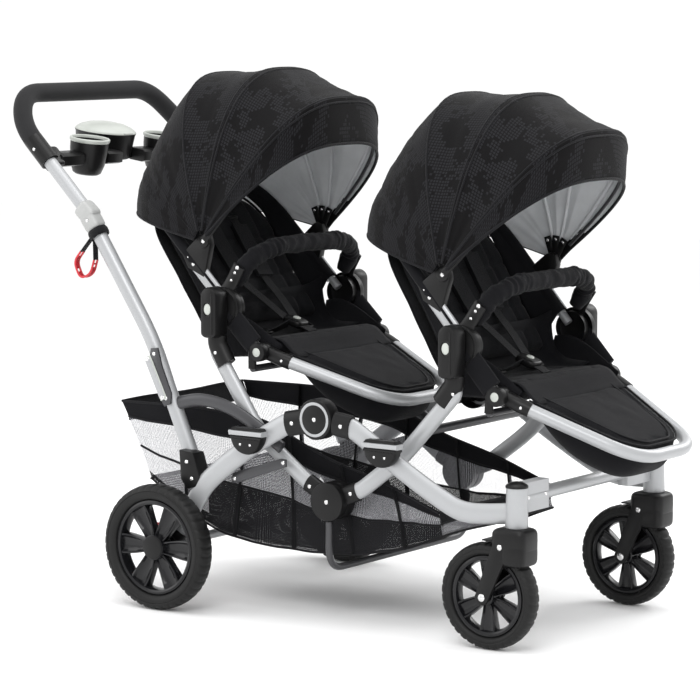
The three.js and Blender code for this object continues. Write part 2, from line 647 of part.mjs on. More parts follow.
// ---------------------------------------------------------------- handle and tray
function handlePath() {
  const y = PUSH_TUBE.y;
  const { bend, top } = HANDLE;
  const half = [
    new THREE.Vector3(HANDLE_JOINT.x - 11, -y, HANDLE_JOINT.z + 11),
    new THREE.Vector3(bend.x, -y, bend.z),
    new THREE.Vector3(top.x, -top.y, top.z),
  ];
  const far = half.map((p) => new THREE.Vector3(p.x, -p.y, p.z)).reverse();
  return [...half, ...far];
}

const HANDLE_CORNER = 60;
const HANDLE_STEPS = 40;

// One bent tube from joint to joint, through the foam grip.
function handleTubeGeometry() {
  const tube = bar(handlePath(), HANDLE.radius, HANDLE.radius, HANDLE_CORNER, HANDLE_STEPS, 10);
  const clearance = 1.6;
  const room = SIDES.map(([, side]) => {
    const yFrom = side < 0 ? -300 : 220;
    return pin(HANDLE_JOINT.x, HANDLE_JOINT.z, HANDLE_JOINT.radius + clearance, yFrom, yFrom + 80, 16);
  });
  return cut(tube, ...room);
}

function handleGripGeometry() {
  const points = handlePath();
  const start = points[1].clone().lerp(points[0], HANDLE.gripShare);
  const end = points[4].clone().lerp(points[5], HANDLE.gripShare);
  const path = [start, ...points.slice(1, 5), end];
  const sleeve = bar(path, HANDLE.grip, HANDLE.grip, HANDLE_CORNER, 30, 10);
  const bore = HANDLE.radius + 1;
  return cut(sleeve, bar(points, bore, bore, HANDLE_CORNER, HANDLE_STEPS, 10));
}

function trayGeometry() {
  const { x, boxX, cupY, cupRadius, cupTop, cupBottom, boxRadius } = TRAY;
  const floor = 5;
  const bridgeBottom = cupBottom + 18;
  const cups = [-cupY, cupY].map((y) => upright(x, y, cupRadius, cupRadius - 6, cupBottom, cupTop));
  const bridge = block(x - 26, x + 26, -230, 230, bridgeBottom, cupTop - 30);
  const box = upright(boxX, 0, boxRadius, boxRadius - 8, bridgeBottom, cupTop, 24);
  const wells = [-cupY, cupY].map((y) => (
    upright(x, y, cupRadius - 5, cupRadius - 10, cupBottom + floor, cupTop + 5)));
  const boxRoom = upright(boxX, 0, boxRadius - 6, boxRadius - 14, bridgeBottom + 6, cupTop + 5, 24);
  return cut(join(...cups, bridge, box), ...wells, boxRoom);
}

function trayLidGeometry() {
  const { boxX, cupTop, boxRadius } = TRAY;
  return upright(boxX, 0, boxRadius - 14, boxRadius, cupTop + GAP, cupTop + 14, 24);
}

function wristStrapGeometry() {
  const collar = new THREE.TorusGeometry(STRAP.radius, 2.6, 5, 14);
  collar.rotateY(radians(-STRAP.tilt));
  collar.translate(STRAP.x, -PUSH_TUBE.y, STRAP.z);
  const loopPath = [[-219, 736], [-262, 690], [-250, 652], [-214, 684], [-220.5, 730]];
  return join(collar, bar(sidePoints(loopPath, -PUSH_TUBE.y), 7, 2.5, 14, 10, 6));
}

function addHandle(parent) {
  addPiece(parent, 'handle_tube', handleTubeGeometry(), SILVER);
  addPiece(parent, 'handle_grip', handleGripGeometry(), FOAM);
  addPiece(parent, 'parent_tray', trayGeometry(), BLACK_PLASTIC);
  addPiece(parent, 'tray_lid', trayLidGeometry(), GREY_PLASTIC);
  addPiece(parent, 'wrist_strap', wristStrapGeometry(), RED_PLASTIC);
}

// ---------------------------------------------------------------- assembly
const model = new THREE.Group();
addRearFrame(model);
addFrontFrame(model);
addPosts(model);
addSeat(model, 'rear');
addSeat(model, 'front');
addHandle(model);

const bounds = new THREE.Box3().setFromObject(model, true);
model.position.x = -(bounds.min.x + bounds.max.x) / 2;

const group = new THREE.Group();
group.add(model);

export default group;
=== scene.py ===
"""Looks for a tandem stroller: fabric, tubes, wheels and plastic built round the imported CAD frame.

Lengths below are millimetres in the design frame, which has x = 0 at the rear axle and z = 0 on the
ground. ROW turns them into the row frame's metres.
"""
import math

import bpy
from mathutils import Matrix, Vector, noise


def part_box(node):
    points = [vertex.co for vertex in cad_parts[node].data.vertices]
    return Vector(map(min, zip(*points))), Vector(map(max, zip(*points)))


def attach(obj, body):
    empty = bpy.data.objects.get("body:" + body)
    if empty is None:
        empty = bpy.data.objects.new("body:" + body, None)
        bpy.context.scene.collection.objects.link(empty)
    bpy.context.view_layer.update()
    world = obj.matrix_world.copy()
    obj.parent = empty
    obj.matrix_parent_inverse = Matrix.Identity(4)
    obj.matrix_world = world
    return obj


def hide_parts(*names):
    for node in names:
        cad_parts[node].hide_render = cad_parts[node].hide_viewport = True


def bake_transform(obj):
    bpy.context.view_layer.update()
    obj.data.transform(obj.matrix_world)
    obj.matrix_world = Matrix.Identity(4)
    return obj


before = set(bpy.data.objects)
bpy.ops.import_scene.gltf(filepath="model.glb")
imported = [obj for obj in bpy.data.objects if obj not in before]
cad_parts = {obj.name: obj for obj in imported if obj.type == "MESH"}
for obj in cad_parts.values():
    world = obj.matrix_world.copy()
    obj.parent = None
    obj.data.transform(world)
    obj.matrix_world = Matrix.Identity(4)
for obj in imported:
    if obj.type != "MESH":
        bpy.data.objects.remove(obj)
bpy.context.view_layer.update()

# ------------------------------------------------------------------ frame and driving dimensions
axle_low, axle_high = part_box("rear_axle")
AXLE_X = (axle_low.x + axle_high.x) / 2
ROW = Matrix.Translation((AXLE_X, 0, 0)) @ Matrix.Scale(0.001, 4)

SIDES = {"right": -1, "left": 1}
REAR_WHEEL = {"x": 0, "y": 323, "radius": 127, "width": 44, "rim": 96, "hub": 26}
FRONT_WHEEL = {"x": 750, "y": 260, "radius": 102.5, "width": 38, "rim": 78, "hub": 17}
STEM = {"x": 808, "y": 260, "bottom": 237, "top": 316, "radius": 22}
LEG_Y, ARM_Y, PUSH_Y, POST_Y = 283, 259, 256, 235
UPPER_HUB = (368, 410)
LOWER_HUB = (368, 243)
REAR_SOCKET = (213, 356)
FRONT_SOCKET = (533, 358)
HANDLE_JOINT = (-232, 787)
HANDLE_BEND = (-408, 962)
HANDLE_TOP = (-447, 1025)
HANDLE_HALF = 204
GRIP_SHARE = 0.46
TRAY_TILT = 8
TRAY_X, BOX_X, CUP_Y, CUP_TOP, CUP_BOTTOM = -337, -397, 122, 930, 857
SEATS = {"rear": (85, 606, 0), "front": (652, 564, 4)}
LEG_PIVOT = (87, -85)
LEG_PANEL, LEG_TOE = (133, 327), 55
LEG_BEND, LEG_END, LEG_END_HALF = (125, -98), (345, -178), 108
BACK_TUBE_LENGTH, BACK_TUBE_CORNER = 350, 150
CANOPY_HINGE = (-56, 130)
CANOPY_STOPS = ((168, 285), (106, 350), (80.8, 352), (54, 356), (43, 289))
CANOPY_HALF, CANOPY_POWER, CANOPY_MEAN_RADIUS = 220, 2.8, 350
REAR_BULGE, REAR_TUCK = 14, 24
BUMPER, BUMPER_ANGLE, BUMPER_REACH = (9, 44), 60, 86


def seat_matrix(name):
    x, z, tilt = SEATS[name]
    return Matrix.Translation((x, 0, z)) @ Matrix.Rotation(math.radians(tilt), 4, "Y")


def ray(degrees):
    return Vector((math.cos(math.radians(degrees)), 0, math.sin(math.radians(degrees))))


# ------------------------------------------------------------------ materials
FABRIC_SPECULAR = 0.12


def shader(name, color, rough, metal=0.0, sheen=0.0, coat=0.0, spec=0.5):
    """A new material, its node tree and its Principled shader, with the plain values set."""
    material = bpy.data.materials.new(name)
    material.use_nodes = True
    tree = material.node_tree
    bsdf = tree.nodes["Principled BSDF"]
    plain = {"Base Color": (*color, 1), "Roughness": rough, "Metallic": metal, "Sheen Weight": sheen,
             "Sheen Roughness": 0.4, "Coat Weight": coat, "Coat Roughness": 0.12, "Specular IOR Level": spec}
    for key, value in plain.items():
        bsdf.inputs[key].default_value = value
    return material, tree, bsdf


def node(tree, kind, *inputs, **settings):
    """A shader node. Its inputs are given in order, or by name with a capital and _ for a space."""
    made = tree.nodes.new("ShaderNode" + kind)
    filled = dict(enumerate(inputs))
    for key, value in settings.items():
        if key[0].isupper():
            filled[key.replace("_", " ")] = value
        else:
            setattr(made, key, value)
    for key, value in filled.items():
        if isinstance(value, bpy.types.NodeSocket):
            tree.links.new(value, made.inputs[key])
        else:
            made.inputs[key].default_value = value
    return made


def calc(tree, operation, *inputs):
    return node(tree, "Math", *inputs, operation=operation).outputs[0]


def coordinates(tree, source):
    return node(tree, "TexCoord").outputs[source]


def grain(tree, scale, detail):
    """Noise in the piece's own space."""
    where = coordinates(tree, "Object")
    return node(tree, "TexNoise", Vector=where, Scale=scale, Detail=detail).outputs["Fac"]


def vary_color(tree, bsdf, factor, dark, light):
    mix = node(tree, "Mix", factor, data_type="RGBA")
    mix.inputs[6].default_value = (*dark, 1)
    mix.inputs[7].default_value = (*light, 1)
    tree.links.new(mix.outputs[2], bsdf.inputs["Base Color"])


def vary_gloss(tree, bsdf, factor, low, high):
    span = node(tree, "MapRange", Value=factor, To_Min=low, To_Max=high)
    tree.links.new(span.outputs["Result"], bsdf.inputs["Roughness"])


def add_bump(tree, bsdf, height, strength, distance):
    bump = node(tree, "Bump", Height=height, Strength=strength, Distance=distance)
    tree.links.new(bump.outputs["Normal"], bsdf.inputs["Normal"])


def lighter(color, gain, lift=0.0):
    return tuple(c * gain + lift for c in color)


def plastic(name, color, rough, texture=900, bump=0.12, **more):
    """Moulded plastic: fine spark-erosion grain and slow gloss changes from handling."""
    material, tree, bsdf = shader(name, color, rough, **more)
    slow = grain(tree, 14, 3)
    vary_color(tree, bsdf, slow, color, lighter(color, 1.25, 0.002))
    vary_gloss(tree, bsdf, slow, rough - 0.07, rough + 0.09)
    add_bump(tree, bsdf, grain(tree, texture, 3), bump, 0.0003)
    return material


def painted_tube(name, dark, light, rough, metal):
    """Silver powder coat: metallic flake under a satin skin, a touch of orange peel."""
    material, tree, bsdf = shader(name, light, rough, metal=metal, coat=0.15)
    vary_color(tree, bsdf, grain(tree, 2600, 2), dark, light)
    vary_gloss(tree, bsdf, grain(tree, 9, 3), rough - 0.05, rough + 0.07)
    add_bump(tree, bsdf, grain(tree, 260, 2), 0.05, 0.0004)
    return material


def weave_height(tree, pitch_mm, source="UV"):
    """Over-and-under threads: crossed wave trains, in millimetres along the cloth."""
    where = coordinates(tree, source)
    per_unit = 1000 / pitch_mm if source == "Object" else 1 / pitch_mm
    height = None
    for direction in "XYZ" if source == "Object" else "XY":
        wave = node(tree, "TexWave", Vector=where, Scale=per_unit * math.pi / 10, wave_type="BANDS",
                    bands_direction=direction).outputs["Fac"]
        height = wave if height is None else calc(tree, "ADD", height, wave)
    return height


def cloth(name, color, rough=0.85, pitch=1.1, sheen=0.06, bump=0.35, source="UV"):
    """Woven polyester: threads from the UV or object grid, slubs and slow fading."""
    material, tree, bsdf = shader(name, color, rough, sheen=sheen, spec=FABRIC_SPECULAR)
    vary_color(tree, bsdf, grain(tree, 16, 5), color, lighter(color, 1.7, 0.002))
    threads, slubs = weave_height(tree, pitch, source), grain(tree, 420, 3)
    add_bump(tree, bsdf, calc(tree, "ADD", threads, slubs), bump, 0.0006)
    return material


def printed_cloth(name):
    """Canopy cloth: black with scattered patches of small grey squares on a square grid."""
    square_pitch, patch_scale, jitter, threshold, half_gap = 6.2, 0.085, 0.09, 0.53, 0.14
    material, tree, bsdf = shader(name, (0.005, 0.005, 0.006), 0.8, sheen=0.05, spec=FABRIC_SPECULAR)
    scaled = node(tree, "VectorMath", coordinates(tree, "UV"), Scale=1 / square_pitch, operation="SCALE")
    corner, inside = (node(tree, "VectorMath", scaled.outputs[0], operation=part).outputs[0]
                      for part in ("FLOOR", "FRACTION"))
    patch = node(tree, "TexNoise", Vector=corner, Scale=patch_scale, Detail=3).outputs["Fac"]
    speck = node(tree, "TexWhiteNoise", Vector=corner).outputs["Value"]
    mask = calc(tree, "GREATER_THAN", calc(tree, "MULTIPLY_ADD", speck, jitter, patch), threshold)
    axes = node(tree, "SeparateXYZ", inside)
    for axis in "XY":
        away = calc(tree, "PINGPONG", axes.outputs[axis], 0.5)
        mask = calc(tree, "MULTIPLY", mask, calc(tree, "GREATER_THAN", away, half_gap))
    vary_color(tree, bsdf, mask, (0.0036, 0.0034, 0.0038), (0.0145, 0.0145, 0.0165))
    height = calc(tree, "MULTIPLY_ADD", weave_height(tree, 0.9), 0.5, mask)
    add_bump(tree, bsdf, height, 0.3, 0.0004)
    return material


def net(name, color, pitch_mm, hole):
    """Knitted mesh: round holes on a staggered grid, cut out by the shader's alpha."""
    material, tree, bsdf = shader(name, color, 0.8, sheen=0.04, spec=FABRIC_SPECULAR)
    dots = node(tree, "TexVoronoi", Vector=coordinates(tree, "UV"), Scale=1 / pitch_mm, Randomness=0.12,
                feature="F1")
    solid = calc(tree, "GREATER_THAN", dots.outputs["Distance"], hole)
    tree.links.new(solid, bsdf.inputs["Alpha"])
    vary_color(tree, bsdf, grain(tree, 20, 3), color, lighter(color, 1.6))
    return material


def foam(name):
    material, tree, bsdf = shader(name, (0.02, 0.02, 0.021), 0.72, sheen=0.05, spec=0.18)
    vary_color(tree, bsdf, grain(tree, 12, 3), (0.010, 0.010, 0.011), (0.019, 0.019, 0.020))
    add_bump(tree, bsdf, grain(tree, 1500, 2), 0.35, 0.0005)
    return material


def rubber(name, color):
    material, tree, bsdf = shader(name, color, 0.5, spec=0.25)
    vary_color(tree, bsdf, grain(tree, 18, 4), color, lighter(color, 1.8, 0.003))
    add_bump(tree, bsdf, grain(tree, 700, 4), 0.3, 0.0005)
    return material


SILVER = painted_tube("silver_tube_paint", (0.34, 0.345, 0.355), (0.46, 0.47, 0.48), 0.38, 0.35)
CHARCOAL = painted_tube("charcoal_paint", (0.035, 0.035, 0.038), (0.07, 0.07, 0.075), 0.36, 0.4)
STEEL = painted_tube("rivet_steel", (0.62, 0.62, 0.62), (0.78, 0.78, 0.78), 0.22, 0.9)
BLACK = plastic("matte_black_plastic", (0.0045, 0.0044, 0.0046), 0.36, spec=0.24)
GLOSS = plastic("gloss_black_plastic", (0.005, 0.005, 0.006), 0.2, texture=300, bump=0.03, coat=0.08,
                spec=0.3)
GREY = plastic("light_grey_plastic", (0.42, 0.44, 0.41), 0.36, bump=0.05)
JOINT_GREY = plastic("grey_joint_plastic", (0.34, 0.345, 0.34), 0.36, bump=0.05)
RED = plastic("red_plastic", (0.46, 0.02, 0.03), 0.4)
TYRE = rubber("tyre_rubber", (0.005, 0.005, 0.005))
FOAM = foam("handle_foam")
FABRIC = cloth("black_seat_cloth", (0.0045, 0.0045, 0.0055))
PAD_CLOTH = cloth("black_pad_cloth", (0.0045, 0.0045, 0.0055), source="Object")
WEBBING = cloth("black_webbing", (0.006, 0.006, 0.007), pitch=1.6, bump=0.8, rough=0.7)
PIPING = cloth("black_piping", (0.006, 0.006, 0.007), pitch=0.8, rough=0.65)
PRINT = printed_cloth("canopy_print_cloth")
LINING = cloth("grey_satin_lining", (0.50, 0.51, 0.52), rough=0.42, pitch=0.6, sheen=0.1, bump=0.1)
SIDE_NET = net("light_side_net", (0.34, 0.34, 0.36), 2.6, 0.45)
FLOOR_NET = net("dark_floor_net", (0.008, 0.008, 0.009), 2.6, 0.17)


# ------------------------------------------------------------------ mesh building
UP, ACROSS, AHEAD = Vector((0, 0, 1)), Vector((0, 1, 0)), Vector((1, 0, 0))


def quads(rows, width, wrap=True):
    """Faces between the rows of a vertex grid; with wrap each row is a closed ring."""
    return [(row * width + i, row * width + (i + 1) % width,
             (row + 1) * width + (i + 1) % width, (row + 1) * width + i)
            for row in range(rows - 1) for i in range(width if wrap else width - 1)]


def end_faces(rows, width):
    """The two faces that close a grid of rings."""
    last = (rows - 1) * width
    return [tuple(reversed(range(width))), tuple(last + i for i in range(width))]


def grid_edge(rows, width):
    """Vertices round the outside of an open grid, in order."""
    last = (rows - 1) * width
    return [*range(width), *(row * width + width - 1 for row in range(1, rows)),
            *range(last + width - 2, last - 1, -1), *(row * width for row in range(rows - 2, 0, -1))]


def rounded_path(points, corner, spacing=7.0):
    """Points along straight runs whose corners are rounded by quadratic bends."""
    points = [Vector(p) for p in points]
    path = [points[0]]

    def run_to(target):
        start = path[-1].copy()
        count = max(1, round((target - start).length / (spacing * 3)))
        path.extend(start.lerp(target, i / count) for i in range(1, count + 1))

    for before, here, after in zip(points, points[1:], points[2:]):
        reach = min(corner, (here - before).length / 2, (after - here).length / 2)
        enter = here + (before - here).normalized() * reach
        leave = here + (after - here).normalized() * reach
        if (enter - path[-1]).length > 0.5:
            run_to(enter)
        count = max(3, round(2 * reach / spacing))
        for i in range(1, count + 1):
            t = i / count
            path.append(enter * (1 - t) ** 2 + here * (2 * t * (1 - t)) + leave * t * t)
    if (points[-1] - path[-1]).length > 0.5:
        run_to(points[-1])
    return path


class Shape:
    """Faces collected in millimetres in one local frame, with a material for each face."""

    def __init__(self):
        self.verts, self.faces, self.indices, self.materials, self.uvs = [], [], [], [], []

    def more_faces(self, faces, material):
        """Adds faces between the vertices that are already there, counted from the first."""
        if material not in self.materials:
            self.materials.append(material)
        self.faces.extend(tuple(face) for face in faces)
        self.indices.extend([self.materials.index(material)] * len(faces))
        return self

    def add(self, verts, faces, material, uvs=None):
        base = len(self.verts)
        self.verts.extend(Vector(v) for v in verts)
        self.uvs.extend(uvs or [(v[0] + v[1], v[2] + v[1] * 0.3) for v in verts])
        return self.more_faces([tuple(base + i for i in face) for face in faces], material)

    def tube(self, points, half_across, half_in_plane, material, corner=30, sides=20, spacing=7.0,
             swell=None):
        """An oval bar. half_across lies along Y at the start, then turns with the path."""
        path = rounded_path(points, corner, spacing)
        along = (path[1] - path[0]).normalized()
        across = ACROSS - along * along.y
        if across.length < 0.2:
            across = AHEAD - along * along.x
        across.normalize()
        verts, uvs, travelled = [], [], 0.0
        total = sum((b - a).length for a, b in zip(path, path[1:]))
        for k, here in enumerate(path):
            tangent = (path[min(k + 1, len(path) - 1)] - path[max(k - 1, 0)]).normalized()
            across = (across - tangent * across.dot(tangent)).normalized()
            other = tangent.cross(across)
            if k:
                travelled += (here - path[k - 1]).length
            for i in range(sides):
                turn = 2 * math.pi * i / sides
                grow = swell(travelled / total, turn) if swell else 0.0
                verts.append(here + across * (math.cos(turn) * (half_across + grow))
                             + other * (math.sin(turn) * (half_in_plane + grow)))
                uvs.append((travelled, turn * (half_across + half_in_plane) / 2))
        return self.add(verts, quads(len(path), sides) + end_faces(len(path), sides), material, uvs)

    def lathe(self, profile, centre, axis, material, segments=48, wobble=None, closed=False):
        """Turns (radius, along) pairs round an axis through centre."""
        axis = Vector(axis).normalized()
        side = UP if abs(axis.z) < 0.9 else AHEAD
        side = (side - axis * side.dot(axis)).normalized()
        other = axis.cross(side)
        verts, uvs = [], []
        for k in range(segments):
            turn = 2 * math.pi * k / segments
            out = side * math.cos(turn) + other * math.sin(turn)
            for i, (radius, along) in enumerate(profile):
                grow = wobble(turn, i) if wobble else 0.0
                verts.append(Vector(centre) + out * (max(radius, 0.02) + grow) + axis * along)
                uvs.append((turn * max(radius, 5), along + radius))
        n = len(profile)
        faces = []
        for k in range(segments):
            a, b = k * n, ((k + 1) % segments) * n
            for i in range(n if closed else n - 1):
                j = (i + 1) % n
                faces.append((a + i, b + i, b + j, a + j))
        return self.add(verts, faces, material, uvs)

    def plate(self, outline, y_from, y_to, material, bevel=2.0):
        """A plate drawn in the XZ plane, with rounded rims, between two Y values in either order."""
        y_from, y_to = sorted((y_from, y_to))
        count = len(outline)
        flat = [Vector((x, 0, z)) for x, z in outline]
        area = sum(a.x * b.z - b.x * a.z for a, b in zip(flat, flat[1:] + flat[:1]))
        turn = 1 if area > 0 else -1
        step = bevel * 0.3
        levels = [(y_from, bevel), (y_from + step, step), (y_from + bevel, 0),
                  (y_to - bevel, 0), (y_to - step, step), (y_to, bevel)]
        verts = []
        for y, inset in levels:
            for i, here in enumerate(flat):
                tangent = (flat[(i + 1) % count] - flat[i - 1]).normalized()
                inward = Vector((-tangent.z, 0, tangent.x)) * turn
                verts.append(here + inward * inset + Vector((0, y, 0)))
        faces = quads(len(levels), count) + end_faces(len(levels), count)
        if turn > 0:
            faces = [tuple(reversed(face)) for face in faces]
        return self.add(verts, faces, material)

    def blob(self, centre, half, material, power=4.0, tilt=0.0, rings=14, segments=32):
        """A rounded block, a superellipsoid; tilt turns it about Y in degrees."""
        turn = Matrix.Rotation(math.radians(tilt), 3, "Y")

        def bend(value):
            return math.copysign(abs(value) ** (2 / power), value)

        verts = []
        for r in range(rings + 1):
            up = math.pi * (r / rings - 0.5)
            for s in range(segments):
                round_ = 2 * math.pi * s / segments
                spot = Vector((bend(math.cos(up)) * bend(math.cos(round_)) * half[0],
                               bend(math.cos(up)) * bend(math.sin(round_)) * half[1],
                               bend(math.sin(up)) * half[2]))
                verts.append(Vector(centre) + turn @ spot)
        return self.add(verts, quads(rings + 1, segments), material)

    def sheet(self, point, columns, rows, material, uv):
        """An open grid: point(u, v) and uv(u, v) for u and v from 0 to 1."""
        spots = [(i / columns, j / rows) for j in range(rows + 1) for i in range(columns + 1)]
        return self.add([point(*spot) for spot in spots], quads(rows + 1, columns + 1, False), material,
                        [uv(*spot) for spot in spots])

    def rivet(self, x, y, z, side, radius=4.2):
        """A domed rivet head on a face that looks along the given side of Y."""
        profile = [(0, 0.42), (0.45, 0.36), (0.8, 0.2), (1, 0), (1, -0.2)]
        scaled = [(r * radius, a * radius) for r, a in profile]
        return self.lathe(scaled, (x, y, z), (0, side, 0), STEEL, 16)

    def disc(self, x, y, z, side, radius, thick, material, rim=2.0, segments=40):
        """A round cover that looks along the given side of Y, its outer face at y."""
        profile = [(0, 0), (radius - rim, 0), (radius - rim * 0.3, -rim * 0.3), (radius, -rim),
                   (radius, -thick)]
        return self.lathe(profile, (x, y, z), (0, side, 0), material, segments)

    def turned(self, matrix):
        self.verts = [matrix @ v for v in self.verts]

    def make(self, name, body, replaces=(), place=None, slot=None, smooth=40, thick=0.0):
        """The Blender object, in the row frame, riding on its body."""
        matrix = ROW @ (place or Matrix.Identity(4))
        mesh = bpy.data.meshes.new(name)
        mesh.from_pydata([matrix @ v for v in self.verts], [], self.faces)
        for material in self.materials:
            mesh.materials.append(material)
        mesh.polygons.foreach_set("material_index", self.indices)
        layer = mesh.uv_layers.new(name="UVMap")
        for loop in mesh.loops:
            layer.data[loop.index].uv = self.uvs[loop.vertex_index]
        mesh.validate()
        mesh.shade_smooth()
        mesh.set_sharp_from_angle(angle=math.radians(smooth))
        piece = link(bpy.data.objects.new(name, mesh))
        if thick:
            solid = piece.modifiers.new("thickness", "SOLIDIFY")
            solid.thickness = thick / 1000
            solid.offset = -1
        if body:
            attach(piece, body)
        if replaces:
            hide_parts(*replaces)
        return piece


def link(made):
    bpy.context.scene.collection.objects.link(made)
    return made


def mirrored(half):
    """A path with its mirror image across Y, there and back."""
    return half + [Vector((p.x, -p.y, p.z)) for p in reversed(half)]


def make_seat_piece(shape, name, label, part, slot, word="", **more):
    """A piece of one seat, in that seat's own frame."""
    body = f"{name}_{part}" if part else None
    full = "_".join(filter(None, (name, label, word)))
    return shape.make(full, body, place=seat_matrix(name), slot=slot, **more)


def spot(pair, y):
    return pair[0], y, pair[1]


def at_y(pairs, y):
    return [spot(pair, y) for pair in pairs]


def toward(start, end, distance):
    """The point at a distance from start on the way to end, in the XZ plane."""
    dx, dz = end[0] - start[0], end[1] - start[1]
    length = math.hypot(dx, dz)
    return (start[0] + dx / length * distance, start[1] + dz / length * distance)


def arc_points(x, z, radius, start, end, count):
    return [(x + radius * math.cos(math.radians(start + (end - start) * i / count)),
             z + radius * math.sin(math.radians(start + (end - start) * i / count)))
            for i in range(count + 1)]


# ------------------------------------------------------------------ wheels
TREAD_BLOCKS_PER_MM, SPOKES = 0.34, 6
# across the spoke, and the share of its depth
SPOKE_SECTION = [(-1, 0.5), (-0.95, 0.9), (-0.8, 1.0), (-0.6, 0.55), (-0.3, 0.4), (0, 0.35),
                 (0.3, 0.4), (0.6, 0.55), (0.8, 1.0), (0.95, 0.9), (1, 0.5)]


def wheel(name, spec, side, body, spoke_turn):
    """A tyre with tread blocks, and a rim with dished petal spokes and a hub."""
    centre = Vector((spec["x"], side * spec["y"], spec["radius"]))
    half = spec["width"] / 2
    outer, rim, hub = spec["radius"], spec["rim"], spec["hub"]

    def both_sides(one, middle=()):
        near = [(radius, -half * share) for radius, share in one]
        return near + list(middle) + [(radius, -along) for radius, along in reversed(near)]

    tyre = Shape()
    profile = both_sides([(rim + 0.3, 0.55), (rim + 4, 0.86), (outer - 15, 0.98), (outer - 13.5, 0.94),
                          (outer - 12, 1), (outer - 6, 0.93), (outer - 2.5, 0.72), (outer - 0.8, 0.4),
                          (outer, 0.12)])
    blocks = round(outer * TREAD_BLOCKS_PER_MM)

    def tread(turn, i):
        if not 5 <= i <= 12:
            return 0.0
        lean = 0.5 * (i - 8.5)
        wave = math.sin(blocks * turn + lean * (1 if i > 8 else -1))
        return -1.9 if wave > 0.62 else 0.0

    tyre.lathe(profile, centre, (0, 1, 0), TYRE, segments=blocks * 8, wobble=tread, closed=True)
    tyre.make(f"{name}_tyre_rubber", body, [f"{name}_tyre"], slot="tyre_rubber", smooth=50)

    hoop = Shape()
    lip = both_sides([(rim, 0.52), (rim - 1, 0.66), (rim - 5, 0.72), (rim - 9, 0.64), (rim - 11, 0.4)],
                     [(rim - 12, 0)])
    hoop.lathe(lip, centre, (0, 1, 0), GLOSS, segments=72, closed=True)
    for i in range(SPOKES):
        turn = math.radians(spoke_turn + 360 / SPOKES * i)
        out = Vector((math.cos(turn), 0, math.sin(turn)))
        tangent = Vector((-math.sin(turn), 0, math.cos(turn)))
        verts, steps = [], 14
        ring = SPOKE_SECTION + [(t, -h) for t, h in reversed(SPOKE_SECTION)]
        for k in range(steps):
            share = k / (steps - 1)
            reach = hub * 0.7 + (rim - 10 - hub * 0.7) * share
            wide = hub * 0.42 + (outer * 0.168 - hub * 0.42) * math.sin(share * math.pi / 2)
            deep = half * (0.62 - 0.2 * math.sin(share * math.pi))
            verts += [centre + out * reach + tangent * (t * wide) + Vector((0, h * deep, 0))
                      for t, h in ring]
        hoop.add(verts, quads(steps, len(ring)), GLOSS)
    hoop.lathe([(0, half * 0.9), (hub - 4, half * 0.88), (hub - 1, half * 0.8), (hub, half * 0.68),
                (hub, -half * 0.68), (hub - 2, -half * 0.8), (0, -half * 0.84)],
               centre, (0, side, 0), GLOSS, 40)
    cap_y = centre.y + side * half * 0.92
    if spec is REAR_WHEEL:
        hoop.disc(centre.x, cap_y, centre.z, side, hub - 1.5, 4, BLACK, rim=3)
    hoop.make(f"{name}_spoked_rim", body, [f"{name}_rim"], slot="gloss_black_plastic", smooth=35)


# ------------------------------------------------------------------ frame
REAR_LEG = [(291, 394), (225, 357), (146, 304), (90, 258), (62, 215), (20, 152)]
FRONT_LEG = [(447, 399), (483, 378), (545, 339), (627, 293), (700, 258)]


def socket(shape, centre, side):
    """Accessory socket: a boat-shaped black cup with a silver band round its open top."""
    x, z = centre
    outer, inner = side * (LEG_Y + 32), side * (LEG_Y + 8)
    low, high = sorted((outer, inner))
    hull = arc_points(x, z + 11, 38, 180, 360, 18)
    shape.plate([(px, z + 11 + (pz - z - 11) * 0.98) for px, pz in hull], low, high, BLACK, 6)
    shape.plate([(x - 40, z + 11), (x + 40, z + 11), (x + 41, z + 21), (x - 41, z + 21)],
                low - 0.4, high + 0.4, SILVER, 3)
    shape.plate([(x - 37, z + 21), (x + 37, z + 21), (x + 33, z + 27), (x - 33, z + 27)],
                low + 1.5, high - 1.5, BLACK, 2)
    shape.plate([(x - 27, z + 25), (x + 27, z + 25), (x + 27, z + 27.4), (x - 27, z + 27.4)],
                low + 5, high - 5, GLOSS, 0.5)
    for dx in (-12, 12):
        shape.rivet(x + dx, outer, z - 6, side, 2.6)


def rear_leg(word, side):
    leg = Shape()
    start = toward(UPPER_HUB, REAR_LEG[0], 60)
    leg.tube(at_y([start, *REAR_LEG], side * LEG_Y), 11, 21, SILVER, 40, 28)
    leg.make(f"rear_leg_tube_{word}", "rear_frame", [f"rear_leg_{word}"], slot="silver_tube")
    fittings = Shape()
    socket(fittings, REAR_SOCKET, side)
    face = side * (LEG_Y + 12)
    # bracket that carries the push tube's foot
    bracket = [(30, 322), (66, 318), (82, 270), (74, 250), (50, 244), (34, 262)]
    y = side * PUSH_Y
    fittings.plate(bracket, min(y, face) + 2, max(y, face) + 1, BLACK, 4)
    fittings.rivet(65, face + side, 267, side)
    fittings.rivet(52, face + side, 300, side)
    # axle housing
    fittings.lathe([(0, 16), (24, 16), (27, 12), (27, -12), (24, -15), (0, -15)],
                   (0, side * (LEG_Y - 1), REAR_WHEEL["radius"]), (0, side, 0), BLACK, 32)
    fittings.tube([(4, side * LEG_Y, 132), (24, side * LEG_Y, 160)], 14, 23, BLACK, 8, 20)
    # flat link between the leg and the lower link, on the inner side
    fittings.plate([(146, 262), (160, 264), (280, 306), (280, 321), (268, 322), (148, 283)],
                   side * 268 - 2.5, side * 268 + 2.5, CHARCOAL, 1.5)
    fittings.rivet(153, side * 271, 272, side)
    fittings.rivet(273, side * 271, 314, side)
    fittings.make(f"rear_leg_fittings_{word}", "rear_frame", slot="black_plastic")


